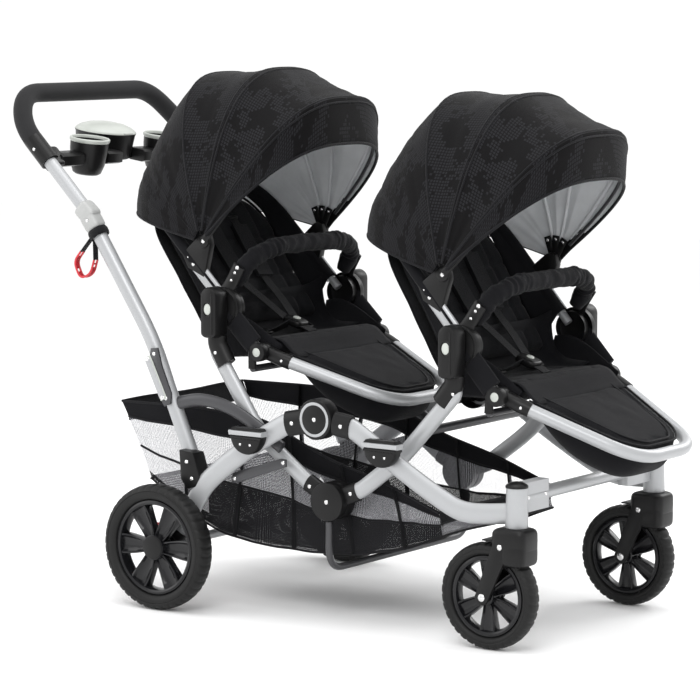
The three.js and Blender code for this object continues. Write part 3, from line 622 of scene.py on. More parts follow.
def upper_hub(word, side):
    hub = Shape()
    end = toward(UPPER_HUB, REAR_LEG[0], 74)
    y = side * LEG_Y
    hub.tube(at_y([toward(UPPER_HUB, REAR_LEG[0], 12), end], y), 14, 25, BLACK, 5, 28)
    x, z = UPPER_HUB
    face = side * 297
    hub.disc(x, face, z, side, 40, 30, BLACK, rim=4)
    hub.lathe([(28.5, 0.6), (30, 1.3), (32.5, 1.3), (34, 0.6), (34, -1), (28.5, -1)],
              (x, face, z), (0, side, 0), SILVER, 56, closed=True)
    hub.disc(x, face + side * 1.4, z, side, 28.2, 3, BLACK, rim=1.5)
    hub.rivet(x, face + side * 1.4, z, side, 4.4)
    hub.rivet(*spot(toward(UPPER_HUB, REAR_LEG[0], 56), side * (LEG_Y + 14)), side)
    hub.make(f"upper_hub_cover_{word}", "rear_frame", [f"upper_hub_{word}"], slot="black_plastic")


def front_frame():
    tubes = Shape()
    fittings = Shape()
    for side in SIDES.values():
        y = side * LEG_Y
        start = toward(UPPER_HUB, FRONT_LEG[0], 41)
        path = at_y([start, *FRONT_LEG], y) + [(760, side * 272, 260), (STEM["x"], side * 260, 265)]
        tubes.tube(path, 11, 20, SILVER, 45, 28)
        stem = [(0, 0), (STEM["radius"] - 1, 0), (STEM["radius"], 1.5), (STEM["radius"] - 2, 78), (0, 78)]
        tubes.lathe(stem, (STEM["x"], side * STEM["y"], STEM["bottom"] + 0.4), (0, 0, 1), SILVER, 40)
        cap = [(0, 8), (12, 6.5), (19, 2.5), (21.5, 0), (21.5, -4)]
        fittings.lathe(cap, (STEM["x"], side * STEM["y"], STEM["top"] + 1), (0, 0, 1), BLACK, 32)
        inner = side * (STEM["y"] - 18)
        far = side * (STEM["y"] - 112)
        low, high = sorted((inner, far))
        tubes.plate([(788, 262), (812, 262), (812, 318), (788, 318)], low, high, SILVER, 5)
        for y_bolt in (low + 16, high - 16):
            head = [(0, 2.4), (3.6, 1.6), (4.4, 0), (4.4, -1)]
            fittings.lathe(head, (812, y_bolt, 290), (1, 0, 0), STEEL, 16)
        sleeve_end = toward(UPPER_HUB, FRONT_LEG[0], 80)
        bend = toward(UPPER_HUB, FRONT_LEG[0], 60)
        fittings.tube(at_y([toward(UPPER_HUB, FRONT_LEG[0], 41), bend, sleeve_end], y), 14, 24, BLACK, 5, 28)
        fittings.rivet(*spot(toward(UPPER_HUB, FRONT_LEG[0], 62), side * (LEG_Y + 14)), side)
        socket(fittings, FRONT_SOCKET, side)
    tubes.tube([(800, -STEM["y"], 290), (800, STEM["y"], 290)], 13, 13, SILVER, 5, 24)
    tubes.make("front_frame_tubes", "front_frame", ["front_frame"], slot="silver_tube")
    fittings.make("front_frame_fittings", "front_frame", slot="black_plastic")


def caster(word, side):
    fork = Shape()
    x0, y0, z0 = FRONT_WHEEL["x"], side * FRONT_WHEEL["y"], FRONT_WHEEL["radius"]
    for cheek in (-1, 1):
        inner = y0 + cheek * 24
        outer = y0 + cheek * 32
        arm = (arc_points(x0, z0, 15, 150, 330, 12)
               + arc_points(x0 + 44, z0 + 104, 19, -30, 150, 12))
        fork.plate(arm, inner, outer, BLACK, 2.5)
        fork.rivet(x0, outer, z0, cheek, 7.5)
        fork.rivet(x0 + 40, outer, z0 + 100, cheek, 6)
    fork.blob((x0 + 54, y0, z0 + 110), (37, 33, 25), BLACK, 5)
    fork.blob((x0 + 64, y0, z0 + 86), (26, 33, 24), BLACK, 5)
    fork.blob((STEM["x"], y0, STEM["bottom"] - 7), (25, 25, 7.5), BLACK, 5)
    # short guard that follows the tyre behind the crown
    guard = arc_points(x0, z0, FRONT_WHEEL["radius"] + 8, 62, 92, 8)
    guard += arc_points(x0, z0, FRONT_WHEEL["radius"] + 5, 92, 62, 8)
    fork.plate(guard, y0 - 24, y0 + 24, BLACK, 1)
    fork.make(f"caster_fork_cover_{word}", f"caster_{word}", [f"caster_fork_{word}"], slot="black_plastic")


def push_tube(word, side):
    tube = Shape()
    path = [(49, 277), (-16, 421), (-60, 530), (HANDLE_JOINT[0] + 6, HANDLE_JOINT[1] - 8)]
    y = side * PUSH_Y
    tube.tube(at_y(path, y), 14, 16, SILVER, 60, 28)
    tube.make(f"push_tube_bar_{word}", "rear_frame", [f"push_tube_{word}"], slot="silver_tube")
    joint = Shape()
    x, z = HANDLE_JOINT
    joint.blob((x, y, z), (21, 18, 19), JOINT_GREY, 4.5, tilt=40)
    joint.blob((x + 13, y, z - 19), (20, 17, 18), JOINT_GREY, 5, tilt=54)
    joint.disc(x + 4, y + side * 18, z + 3, side, 7, 4, JOINT_GREY, rim=2, segments=24)
    joint.rivet(x + 12, y + side * 18, z - 16, side, 3.6)
    face = y + side * 15
    strap = [(-54, 520), (-36, 522), (-26, 486), (-2, 432), (-4, 410), (-20, 404), (-34, 424), (-58, 498)]
    joint.plate(strap, face, face + side * 5, CHARCOAL, 1.5)
    joint.rivet(-46, face + side * 5, 509, side)
    joint.rivet(-16, face + side * 5, 421, side)
    joint.make(f"push_tube_fittings_{word}", "rear_frame", slot="grey_plastic")


def side_arm(word, side):
    arm = Shape()
    path = [(6, 412), (60, 424), (123, 416), (180, 392), (262, 342)]
    arm.tube(at_y(path, side * ARM_Y), 8, 13, CHARCOAL, 50, 24)
    arm.make(f"side_arm_bar_{word}", "rear_frame", [f"side_arm_{word}"], slot="charcoal_metal")


def posts(name):
    hub_x, hub_z, _ = SEATS[name]
    top = hub_z - 58
    lower_link = [(190, 362), (305, 277)] if name == "rear" else [(530, 340), (436, 270)]
    disc = 247 if name == "rear" else 224
    for word, side in SIDES.items():
        y = side * POST_Y
        tube = Shape()
        lower_end = toward(LOWER_HUB, lower_link[1], 44)
        path = at_y([(hub_x, top - 20), (hub_x, top - 32), *lower_link, lower_end], y)
        tube.tube(path, 11, 16.5, SILVER, 45, 28)
        tube.make(f"{name}_post_tube_{word}", f"{name}_posts", [f"{name}_post_{word}"], slot="silver_tube")
        trim = Shape()
        sleeve = toward(LOWER_HUB, lower_link[1], 66)
        trim.tube(at_y([toward(LOWER_HUB, lower_link[1], 20), sleeve], y), 13, 19, BLACK, 5, 24)
        trim.rivet(*spot(toward(LOWER_HUB, lower_link[1], 54), side * (POST_Y + 13)), side)
        trim.disc(LOWER_HUB[0], side * (disc + 11), LOWER_HUB[1], side, 38.5, 21, BLACK, rim=3)
        trim.rivet(LOWER_HUB[0], side * (disc + 11), LOWER_HUB[1], side, 4.6)
        # knuckle under the seat mount
        knee = toward((hub_x, top - 14), lower_link[0], 46)
        trim.tube(at_y([(hub_x, top + 4), (hub_x, top - 14), knee], y), 16, 21, BLACK, 26, 24)
        trim.rivet(hub_x + 6, side * (POST_Y + 16), top - 30, side, 3.6)
        trim.make(f"{name}_post_trim_{word}", f"{name}_posts", slot="black_plastic")
        mount(name, word, side)


def mount(name, word, side):
    """Seat mount: a tall rounded cap with an oval ring where the release button sits."""
    x, z, _ = SEATS[name]
    cap = Shape()
    outline = arc_points(x - 9, z - 47, 11, 180, 270, 5) + arc_points(x + 9, z - 47, 11, 270, 360, 5)
    outline += arc_points(x, z + 24, 20, 0, 180, 14)
    near, far = side * 267.5, side * 225
    cap.plate(outline, near, far, BLACK, 7)
    cap.plate([(x + 8, z - 50), (x + 12, z - 50), (x + 12, z + 30), (x + 8, z + 32)],
              near, near + side, BLACK, 0.4)
    ring = [(12.4, 0.5), (11.4, 1.4), (10.2, 0.8), (10.2, -2), (12.4, -2)]
    base = len(cap.verts)
    cap.lathe(ring, (x, near, z), (0, side, 0), BLACK, 32, closed=True)
    for i in range(base, len(cap.verts)):
        cap.verts[i].z = z + (cap.verts[i].z - z) * 1.3
    cap.make(f"{name}_mount_cap_{word}", f"{name}_posts", [f"{name}_mount_{word}"], slot="black_plastic")


def release(name, word, side):
    x, z, _ = SEATS[name]
    button = Shape()
    button.lathe([(0, 1.6), (5, 1.2), (7.6, 0.2), (8.8, -1.6), (9, -11), (0, -11)],
                 (0, 0, 0), (0, side, 0), GREY, 36)
    button.turned(Matrix.Translation((x, side * 268.6, z)) @ Matrix.Diagonal((1, 1, 4 / 3, 1)))
    button.make(f"{name}_release_button_{word}", f"{name}_release_{word}", [f"{name}_release_{word}"],
                slot="grey_plastic", smooth=50)


def posts_cross_pieces():
    bars = Shape()
    x = LOWER_HUB[0]
    bars.tube([(x, -247, 203), (x, -247, 108), (x, 247, 108), (x, 247, 203)], 7, 7, CHARCOAL, 45, 20)
    bars.make("under_bar_tube", "rear_posts", ["under_bar"], slot="charcoal_metal")
    cross = Shape()
    cross.tube([(578, -222, 396), (578, 222, 396)], 9, 9, CHARCOAL, 5, 24)
    for side in SIDES.values():
        cross.disc(578, side * 222.5, 396, -side, 13, 5, BLACK, rim=1.5, segments=28)
    cross.make("post_cross_bar_tube", "front_posts", ["post_cross_bar"], slot="charcoal_metal")


def rear_axle():
    axle = Shape()
    z = REAR_WHEEL["radius"]
    axle.tube([(0, -336, z), (0, 336, z)], 9.4, 9.4, SILVER, 5, 28)
    axle.make("rear_axle_tube", "rear_frame", ["rear_axle"], slot="silver_tube")


def brake_pedal():
    pedal = Shape()
    pedal.blob((-55, -206, 152), (15, 56, 6), RED, 5)
    for i in range(7):
        pedal.blob((-55, -248 + 14 * i, 158), (12, 2, 1.6), RED, 3, rings=8, segments=16)
    for y in (-228, -178):
        pedal.plate([(-66, 146), (-66, 157), (-14, 146), (17, 134), (18, 120), (4, 110), (-12, 114),
                     (-18, 126)], y - 4, y + 4, BLACK, 2)
    pedal.make("brake_pedal_tread", "brake_pedal", ["brake_pedal"], slot="red_plastic")


def fold_lever():
    lever = Shape()
    lever.tube([(-62, -276, 502), (-20, -276, 418)], 3.4, 8.5, GREY, 2, 20)
    lever.tube([(-59, -279.4, 496), (-23, -279.4, 424)], 1.2, 7.0, SILVER, 2, 20)
    for x, z in ((-60, 498), (-22, 422)):
        lever.rivet(x, -279.8, z, -1, 5)
    lever.make("fold_lever_blade", "fold_lever", ["fold_lever"], slot="black_plastic")


# ------------------------------------------------------------------ handle and tray
def handle():
    """Two bare tube ends and one padded grip bent round the top, with smooth collars at its ends."""
    start = Vector((HANDLE_JOINT[0] - 11, -PUSH_Y, HANDLE_JOINT[1] + 11))
    bend = Vector((HANDLE_BEND[0], -PUSH_Y, HANDLE_BEND[1]))
    top = Vector((HANDLE_TOP[0], -HANDLE_HALF, HANDLE_TOP[1]))
    low = bend.lerp(start, GRIP_SHARE)
    flips = {side: Matrix.Diagonal((1, -side, 1, 1)) for side in SIDES.values()}
    tubes = Shape()
    for flip in flips.values():
        tubes.tube([flip @ start, flip @ low], 14, 14, SILVER, 5, 28)
    tubes.make("handle_side_tubes", "handle", ["handle_tube"], slot="silver_tube")

    grip = Shape()
    path = mirrored([low, bend, top])

    def ends(share, turn):
        edge = min(share, 1 - share) * 950
        return -3.2 * max(0.0, 1 - edge / 6) ** 2

    grip.tube(path, 20, 20, FOAM, 60, 32, swell=ends, spacing=6)
    for side, flip in flips.items():
        grip.tube([flip @ low, flip @ low.lerp(bend, 0.6)], 20.4, 20.4, BLACK, 5, 36)
        screw = low.lerp(bend, 0.35)
        grip.rivet(screw.x, side * (PUSH_Y + 20.2), screw.z, side, 3.6)
    grip.make("handle_foam_grip", "handle", ["handle_grip"], slot="foam_grip")


def tray_tilt():
    """A turn of the tray towards the front, about its upper front edge."""
    pivot = Vector((TRAY_X + 20, 0, CUP_TOP))
    return (Matrix.Translation(pivot) @ Matrix.Rotation(math.radians(TRAY_TILT), 4, "Y")
            @ Matrix.Translation(-pivot))


def tray():
    shell = Shape()
    depth = CUP_TOP - CUP_BOTTOM
    for y in (-CUP_Y, CUP_Y):
        at = (TRAY_X, y, CUP_BOTTOM)
        cup = [(0, -5), (24, -5), (30, -1), (36, 16), (40, depth - 24), (40.6, depth - 8), (37, depth - 6),
               (35, depth - 20), (30, 6), (0, 4)]
        shell.lathe(cup, at, (0, 0, 1), BLACK, 56)
        rim = [(37, depth - 8), (40.6, depth - 9), (42.6, depth - 6), (42.6, depth - 2), (40.8, depth),
               (38, depth - 0.6), (37, depth - 3)]
        shell.lathe(rim, at, (0, 0, 1), GREY, 64, closed=True)
    bowl = [(0, 18), (52, 18), (58, 21), (64, depth - 4), (66, depth), (60, depth), (53, 26), (0, 24)]
    shell.lathe(bowl, (BOX_X, 0, CUP_BOTTOM), (0, 0, 1), BLACK, 64)
    low = CUP_BOTTOM + 17
    section = [(-25, 4), (-25, 23), (-18, 27), (18, 27), (25, 23), (25, 4), (16, 0), (-16, 0)]
    bridge = [(TRAY_X + x, low + z) for x, z in section]
    for side in SIDES.values():
        shell.plate(bridge, side * 36, side * (CUP_Y - 38), BLACK, 3)
        shell.plate(bridge, side * (CUP_Y + 38), side * 232, BLACK, 3)
        shell.blob((TRAY_X + 2, side * 240, low + 15), (24, 19, 17), BLACK, 5, tilt=45)
    shell.turned(tray_tilt())
    shell.make("tray_shell", "handle", ["parent_tray"], slot="black_plastic")
    lid = Shape()
    dome = [(0, 19), (22, 18), (40, 15), (54, 10), (62, 5), (65.5, 1.4), (65.5, 0), (60, 0.4), (0, 5)]
    lid.lathe(dome, (BOX_X, 0, CUP_TOP + 0.6), (0, 0, 1), GREY, 72)
    lid.blob((BOX_X + 62, 0, CUP_TOP + 3.4), (5, 15, 2.6), GREY, 4)
    lid.turned(tray_tilt())
    lid.make("tray_lid_dome", "tray_lid", ["tray_lid"], slot="grey_plastic", smooth=50)


def wrist_strap():
    strap = Shape()
    ring = [(17.5, -8), (20, -8.5), (21.5, -4), (21.5, 4), (20, 8.5), (17.5, 8)]
    strap.lathe(ring, (-203.5, -PUSH_Y, 745), (-0.555, 0, 0.832), WEBBING, 40, closed=True)
    for strand in ([(-219, 737), (-247, 706)], [(-213, 733), (-212, 690)]):
        strap.tube(at_y(strand, -PUSH_Y), 8, 1.8, WEBBING, 3, 16)
    loop = [(-247, 706), (-266, 684), (-250, 650), (-222, 660), (-212, 690)]
    for y in (-5.6, 5.6):
        strap.tube(at_y(loop, -PUSH_Y + y), 1.9, 2.4, RED, 14, 12, spacing=4)
    path = rounded_path(at_y(loop, -PUSH_Y), 14, 3.6)
    for here in path[1:-1]:
        strap.blob(here, (1.7, 6, 1.7), RED, 3, rings=6, segments=12)
    strap.make("wrist_strap_loop", "rear_frame", ["wrist_strap"], slot="red_plastic")


def blend_across(piece):
    """Bakes the piece's placing into its mesh, leaving the object unmoved in the row frame."""
    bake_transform(piece)


def canopy_span(angle):
    """The stops either side of an angle, and how far it has gone from the first to the second."""
    pairs = zip(CANOPY_STOPS, CANOPY_STOPS[1:])
    upper, lower = next((a, b) for a, b in pairs if angle >= b[0] - 1e-6)
    return upper, lower, (upper[0] - angle) / (upper[0] - lower[0])


def canopy_radius(angle):
    upper, lower, share = canopy_span(angle)
    chord = ray(upper[0]) * upper[1] * (1 - share) + ray(lower[0]) * lower[1] * share
    if upper != CANOPY_STOPS[0]:
        return chord.length
    tuck = REAR_TUCK * max(0.0, 1 - share * 3.4) ** 2
    return chord.length + REAR_BULGE * math.sin(math.pi * share) - tuck


def canopy_turns(columns):
    """Angles round the canopy's section that give equal steps along the cloth."""
    share = 2 / CANOPY_POWER
    fine = []
    for k in range(1201):
        turn = math.radians(88.8) * (k / 600 - 1)
        across = math.copysign(abs(math.sin(turn)) ** share, turn) * CANOPY_HALF
        fine.append((turn, across, math.cos(turn) ** share * CANOPY_MEAN_RADIUS))
    lengths = [0.0]
    for a, b in zip(fine, fine[1:]):
        lengths.append(lengths[-1] + math.hypot(b[1] - a[1], b[2] - a[2]))
    turns, k = [], 0
    for i in range(columns + 1):
        goal = lengths[-1] * i / columns
        while k < 1199 and lengths[k + 1] < goal:
            k += 1
        turns.append((fine[k][0], goal - lengths[-1] / 2))
    return turns


def canopy_point(angle, turn, inset):
    share = 2 / CANOPY_POWER
    reach = abs(math.cos(turn)) ** share
    across = math.copysign(abs(math.sin(turn)) ** share, turn) * (CANOPY_HALF - inset)
    out = ray(angle) * ((canopy_radius(angle) - inset) * reach)
    return Vector((CANOPY_HINGE[0] + out.x, across, CANOPY_HINGE[1] + out.z))


def canopy_sag(angle, turn, seed):
    """How far the cloth dips between its bows, with slack creases that run to the hinge."""
    _, lower, share = canopy_span(angle)
    dip = math.sin(math.pi * share)
    depth = 1.6 if lower == CANOPY_STOPS[1] or lower == CANOPY_STOPS[-1] else 5.0
    crease = noise.noise(Vector((angle * 0.16 + seed, turn * 1.7, seed)))
    folds = noise.noise(Vector((angle * 0.45, turn * 0.8, seed + 5)))
    return 1.4 + dip * (depth + 2.4 * crease + 1.6 * folds)


def canopy(name, seed):
    place = seat_matrix(name)
    hood = Shape()
    turns = canopy_turns(96)
    angles = []
    for (upper, _), (lower, _) in zip(CANOPY_STOPS, CANOPY_STOPS[1:]):
        count = max(8, round((upper - lower) * 0.45))
        angles += [upper + (lower - upper) * i / count for i in range(count)]
    angles.append(CANOPY_STOPS[-1][0])
    rows, width = len(angles), len(turns)
    outer, inner, uvs = [], [], []
    for angle in angles:
        for turn, along in turns:
            sag = canopy_sag(angle, turn, seed)
            outer.append(canopy_point(angle, turn, sag))
            inner.append(canopy_point(angle, turn, sag + 3.2))
            reach = abs(math.cos(turn)) ** (2 / CANOPY_POWER)
            uvs.append((along, (angle - 80.8) * 6.1 * reach))
    grid = quads(rows, width, False)
    count = len(outer)
    hood.add(outer + inner, [tuple(reversed(face)) for face in grid], PRINT, uvs + uvs)
    hood.more_faces([tuple(count + i for i in face) for face in grid], LINING)
    edge = grid_edge(rows, width)
    hood.more_faces([(a, b, count + b, count + a) for a, b in zip(edge, edge[1:] + edge[:1])], PIPING)

    def line(angle, inset, trim=0):
        return [canopy_point(angle, turn, inset) for turn, _ in turns[trim:len(turns) - trim:2]]

    bows = [stop[0] for stop in CANOPY_STOPS]
    for angle, radius in ((bows[0], 2.6), (bows[1], 2.4), (bows[2] + 1.1, 2.2), (bows[2] - 1.1, 2.2),
                          (bows[3] + 0.9, 2.2), (bows[3] - 0.9, 2.2), (bows[4], 3.4)):
        hood.tube(line(angle, 2.2 if radius < 3 else 3.6), radius, radius, PIPING, 2, 8, spacing=30)
    for angle in bows[1:4]:
        hood.tube(line(angle, 8.4, trim=2), 4, 4, LINING, 2, 10, spacing=30)
    seam = [canopy_point(angle, 0.0, 2.2) for angle in angles if angle >= bows[1]]
    hood.tube(seam, 1.6, 1.6, PIPING, 2, 8, spacing=30)
    piece = hood.make(f"{name}_canopy_hood", None, [f"{name}_canopy"], place, "black_fabric", smooth=60)
    blend_across(piece)


def canopy_bow(name):
    bow = Shape()
    turns = canopy_turns(60)
    path = [canopy_point(CANOPY_STOPS[-1][0] + 4, turn, 14) for turn, _ in turns[2:-2]]
    bow.tube(path, 3.5, 3.5, CHARCOAL, 2, 12, spacing=30)
    for side in SIDES.values():
        y = side * 209
        tip = Vector((CANOPY_HINGE[0], 0, CANOPY_HINGE[1])) + ray(48) * 86
        root = Vector((CANOPY_HINGE[0], 0, CANOPY_HINGE[1])) + ray(48) * 4
        bow.tube([(root.x, y, root.z), (tip.x, y, tip.z)], 2.4, 9, BLACK, 4, 16)
        bow.rivet(tip.x - 10, y - side * 2.2, tip.z - 8, -side, 3.4)
    bow.make(f"{name}_canopy_bow_tube", f"{name}_canopy_bow", [f"{name}_canopy_bow"], seat_matrix(name),
             "charcoal_metal")


CLOTH_QUALITY, CLOTH_PRESSURE, CLOTH_FRAMES = 4, 4.0, 20


def inflate(shape, voxel, cap):
    """Remeshes a closed shape evenly and lets it swell by cap mm at most, as cloth under pressure."""
    mesh = bpy.data.meshes.new("pad_form")
    mesh.from_pydata([v / 1000 for v in shape.verts], [], shape.faces)
    form = bpy.data.objects.new("pad_form", mesh)
    scene = bpy.context.scene
    scene.collection.objects.link(form)
    remesh = form.modifiers.new("even_mesh", "REMESH")
    remesh.mode = "VOXEL"
    remesh.voxel_size = voxel / 1000
    graph = bpy.context.evaluated_depsgraph_get()
    form.data = bpy.data.meshes.new_from_object(form.evaluated_get(graph))
    form.modifiers.clear()
    rest = [v.co.copy() for v in form.data.vertices]
    final = rest
    cloth_settings = form.modifiers.new("cloth", "CLOTH").settings
    cloth_settings.quality = CLOTH_QUALITY
    cloth_settings.use_pressure = True
    cloth_settings.uniform_pressure_force = CLOTH_PRESSURE
    cloth_settings.effector_weights.gravity = 0.0
    for step in range(1, CLOTH_FRAMES + 1):
        scene.frame_set(step)
    graph = bpy.context.evaluated_depsgraph_get()
    swollen = [v.co.copy() for v in form.evaluated_get(graph).data.vertices]
    final = []
    for before, after in zip(rest, swollen):
        move = after - before
        if move.length > cap / 1000:
            move *= cap / 1000 / move.length
        final.append(before + move)
    scene.frame_set(1)
    faces = [tuple(face.vertices) for face in form.data.polygons]
    bpy.data.objects.remove(form)
    return [v * 1000 for v in final], faces


def back_matrix():
    """From pad coordinates (x across, y towards the child, z up the back) to the seat frame."""
    along = ray(124.3)
    normal = Vector((along.z, 0, -along.x))
    turn = Matrix(((0, normal.x, along.x), (1, 0, 0), (0, normal.z, along.z))).to_4x4()
    return Matrix.Translation((-48, 0, -53)) @ turn


def back_outline(half, length, shoulder):
    corner = [(half - shoulder * (1 - math.cos(a)), length - shoulder * (1 - math.sin(a)))
              for a in [math.pi / 2 * i / 8 for i in range(9)]]
    left = [(-x, z) for x, z in reversed(corner)]
    return [(-half, 4), (-half + 10, 0), (half - 10, 0), (half, 4), *corner, *left]


def groove(distance, width, depth):
    return depth * math.exp(-(distance / width) ** 2)


def back_pad_form():
    form = Shape().plate(back_outline(170, 315, 104), -8, 8, PAD_CLOTH, 6)
    verts, faces = inflate(form, 5.0, 6.0)
    shaped = []
    for v in verts:
        face = max(0.0, min(1.0, v.y / 8))
        dent = groove(v.z - 105, 5, 4) + groove(v.z - 196, 5, 4)
        dent += groove(abs(v.x) - 112, 5, 4) + groove(math.hypot(v.x, v.z - 244) - 58, 5, 2)
        bowl = 7 * (abs(v.x) / 170) ** 4
        shaped.append(Vector((v.x, v.y - dent * face + bowl * face, v.z)))
    return shaped, faces


def base_pad_form():
    outline = [(-76, -92), (20, -75), (106, -62), (116, -74), (108, -94), (-72, -107)]
    form = Shape().plate(outline, -170, 170, PAD_CLOTH, 7)
    verts, faces = inflate(form, 5.0, 5.0)
    shaped = []
    for v in verts:
        top = 1.0 if v.z > -94 + (v.x + 76) * 0.16 else 0.0
        dent = groove(v.x - 30, 5, 3.5) + groove(abs(v.y) - 118, 5, 3.5)
        shaped.append(Vector((v.x, v.y, v.z - dent * top)))
    return shaped, faces


def leg_half(x):
    """Half the calf panel's width: it narrows with the foot bar and its toe is rounded."""
    wide = 174.5 - 0.382 * max(0.0, x - LEG_BEND[0])
    over = max(0.0, (x - LEG_PANEL[1] + LEG_TOE) / LEG_TOE)
    return wide - LEG_TOE * (1 - math.sqrt(max(0.0, 1 - over * over)))


def leg_top(x):
    return -89 - (x - 130) * 0.372


def leg_pad_form():
    """The calf panel: a raised middle, a sunk gusset beside the foot bar, and a slack pouch below."""
    form = Shape()
    columns, rows = 56, 44
    top, bottom = [], []
    for j in range(rows + 1):
        share = j / rows
        x = LEG_PANEL[0] + share * (LEG_PANEL[1] - LEG_PANEL[0])
        upper = leg_top(x)
        belly = 8 + 80 * max(0.0, 1 - abs(2 * share - 1) ** 2.6) ** 0.6
        ends = math.sin(math.pi * min(1.0, share + 0.12))
        for i in range(columns + 1):
            u = 2 * i / columns - 1
            y = u * leg_half(x)
            middle = 1 / (1 + math.exp((abs(u) - 0.76) * 42))
            gusset = groove(abs(u) - 0.86, 0.055, 9) * max(0.0, ends)
            crease = 1.6 * noise.noise(Vector((x * 0.02, y * 0.03, 3.1))) * ends
            top.append((x, y, upper + 3.5 * middle * ends - gusset + crease))
            bottom.append((x, y, upper - 4 - belly * (1 - abs(u) ** 5) ** 0.8))
    grid = quads(rows + 1, columns + 1, False)
    count = len(top)
    edge = grid_edge(rows + 1, columns + 1)
    rim = [(b, a, count + a, count + b) for a, b in zip(edge, edge[1:] + edge[:1])]
    under = [tuple(count + i for i in reversed(face)) for face in grid]
    form.add(top + bottom, grid + under + rim, PAD_CLOTH)
    return inflate(form, 4.0, 2.5)


def pad(name, label, form, part, node_name, place):
    """A padded piece from a swollen form, its voxels smoothed by one level of subdivision."""
    shape = Shape().add([Vector(v) for v in form[0]], form[1], PAD_CLOTH)
    piece = shape.make(f"{name}_{label}", f"{name}_{part}", [f"{name}_{node_name}"], place,
                       "black_fabric", smooth=180)
    smoothing = piece.modifiers.new("smooth_cloth", "SUBSURF")
    smoothing.levels = smoothing.render_levels = 1
    return piece


def seat_piping(name):
    """Bound edges of the back pad and the calf panel."""
    back = Shape()
    outline = back_outline(174, 319, 106)[3:-1]
    back.tube([(x, 3, z) for x, z in outline], 2.6, 2.6, PIPING, 4, 10, spacing=30)
    back.turned(back_matrix())
    make_seat_piece(back, name, "back_piping", "seat_back", "black_fabric")
    leg = Shape()
    stations = [LEG_PANEL[0] + (LEG_PANEL[1] - LEG_PANEL[0]) * (1 - (1 - i / 30) ** 2) for i in range(31)]
    for inset in (0.0, 0.24):
        edge = [(x, leg_half(x) * (1 - inset)) for x in stations]
        edge += [(x, -y) for x, y in reversed(edge)]
        run = [(x - 26 * inset, y, leg_top(x - 26 * inset) + (3 if inset else 0)) for x, y in edge]
        leg.tube(run, 2.4, 2.4, PIPING, 3, 10, spacing=30)
    make_seat_piece(leg, name, "leg_piping", "leg_rest", "black_fabric")


def back_shell(name):
    """Outer cloth behind the back pad: one sheet that sags and wrinkles."""
    shell = Shape()

    def point(u, v):
        across = (2 * u - 1)
        y = across * 186
        along = 6 + v * 306
        shoulder = max(0.0, along - 216) / 100
        y *= 1 - 0.42 * shoulder ** 2.4
        sag = 11 * math.cos(across * math.pi / 2) * math.sin(math.pi * min(1, v + 0.1))
        wrinkle = 1.8 * noise.noise(Vector((across * 2.4, v * 7, 1.3)))
        return back_matrix() @ Vector((y, -14.5 - sag - wrinkle, along))

    shell.sheet(point, 44, 40, FABRIC, lambda u, v: (u * 372, v * 306))
    piece = make_seat_piece(shell, name, "back_shell", "seat_back", "black_fabric", thick=1.4)


def tube_inset(distance):
    """How far the back tube has turned inwards at a distance from the seat hub."""
    share = (distance - BACK_TUBE_LENGTH + BACK_TUBE_CORNER) / BACK_TUBE_CORNER
    return BACK_TUBE_CORNER * (1 - math.sqrt(1 - max(0.0, min(1.0, share)))) ** 2


WING_FOOT, WING_LENGTH, BACK_TUBE_Y = 38, 296, 196


def side_wings(name):
    """Side panels of the seat: one turns with the back, one stays with the base."""
    for word, side in SIDES.items():
        back = Shape()
        pad_ends = [Vector((-56, 0, -34)), Vector((-222, 0, 212))]
        wrap = 0.4

        def wing(u, v):
            distance = WING_FOOT + WING_LENGTH * v
            y = BACK_TUBE_Y - tube_inset(distance)
            centre = ray(135) * distance
            first = 20 - 150 * max(0.0, min(1.0, (distance - 116) / 30))
            turn = math.radians(first + (195 - first) * min(u, wrap) / wrap)
            hug = centre + ray(45) * (12 * math.sin(turn)) + Vector((0, y + 11.5 * math.cos(turn), 0))
            share = max(0.0, u - wrap) / (1 - wrap)
            rear = pad_ends[0].lerp(pad_ends[1], v) + Vector((0, min(y, 184) - 12, 0))
            here = hug.lerp(rear, share)
            slack = 5 * math.sin(math.pi * share) * math.sin(math.pi * v)
            slack += 1.5 * share * noise.noise(Vector((u * 3, v * 5, side)))
            return Vector((here.x, side * (here.y - slack), here.z))

        back.sheet(wing, 22, 36, FABRIC, lambda u, v: (u * 100, v * 320))
        piece = make_seat_piece(back, name, "back_wing", "seat_back", "black_fabric", word, thick=1.4)
        base = Shape()
        upper = rounded_path([(-30, 0, -18), (6, 0, -12), (46, 0, -26), (122, 0, -72)], 24, 6)
        lower = [Vector((-58 + 170 * i / (len(upper) - 1), 0, -103 + 15 * i / (len(upper) - 1)))
                 for i in range(len(upper))]

        def side_cloth(u, v):
            index = min(len(upper) - 1, round(u * (len(upper) - 1)))
            here = lower[index].lerp(upper[index], v)
            return Vector((here.x, side * (181.5 + 3.5 * math.sin(math.pi * v)), here.z))

        base.sheet(side_cloth, len(upper) - 1, 12, FABRIC, lambda u, v: (u * 200, v * 70))
        piece = make_seat_piece(base, name, "base_side", "posts", "black_fabric", word, thick=1.4)


def seat_corner(name):
    """Cloth that closes the gap between the seat base and the foot of the back."""
    corner = Shape()
    path = rounded_path([(-66, 0, 14), (-62, 0, -30), (-52, 0, -62), (-24, 0, -80), (30, 0, -79)], 26, 4)

    def point(u, v):
        here = path[round(v * (len(path) - 1))]
        across = 2 * u - 1
        curl = across ** 16
        return Vector((here.x + 24 * curl, across * 182, here.z + 18 * curl))

    corner.sheet(point, 40, len(path) - 1, FABRIC, lambda u, v: (u * 364, v * 150))
    piece = make_seat_piece(corner, name, "seat_corner", None, "black_fabric", thick=1.6)
    blend_across(piece)


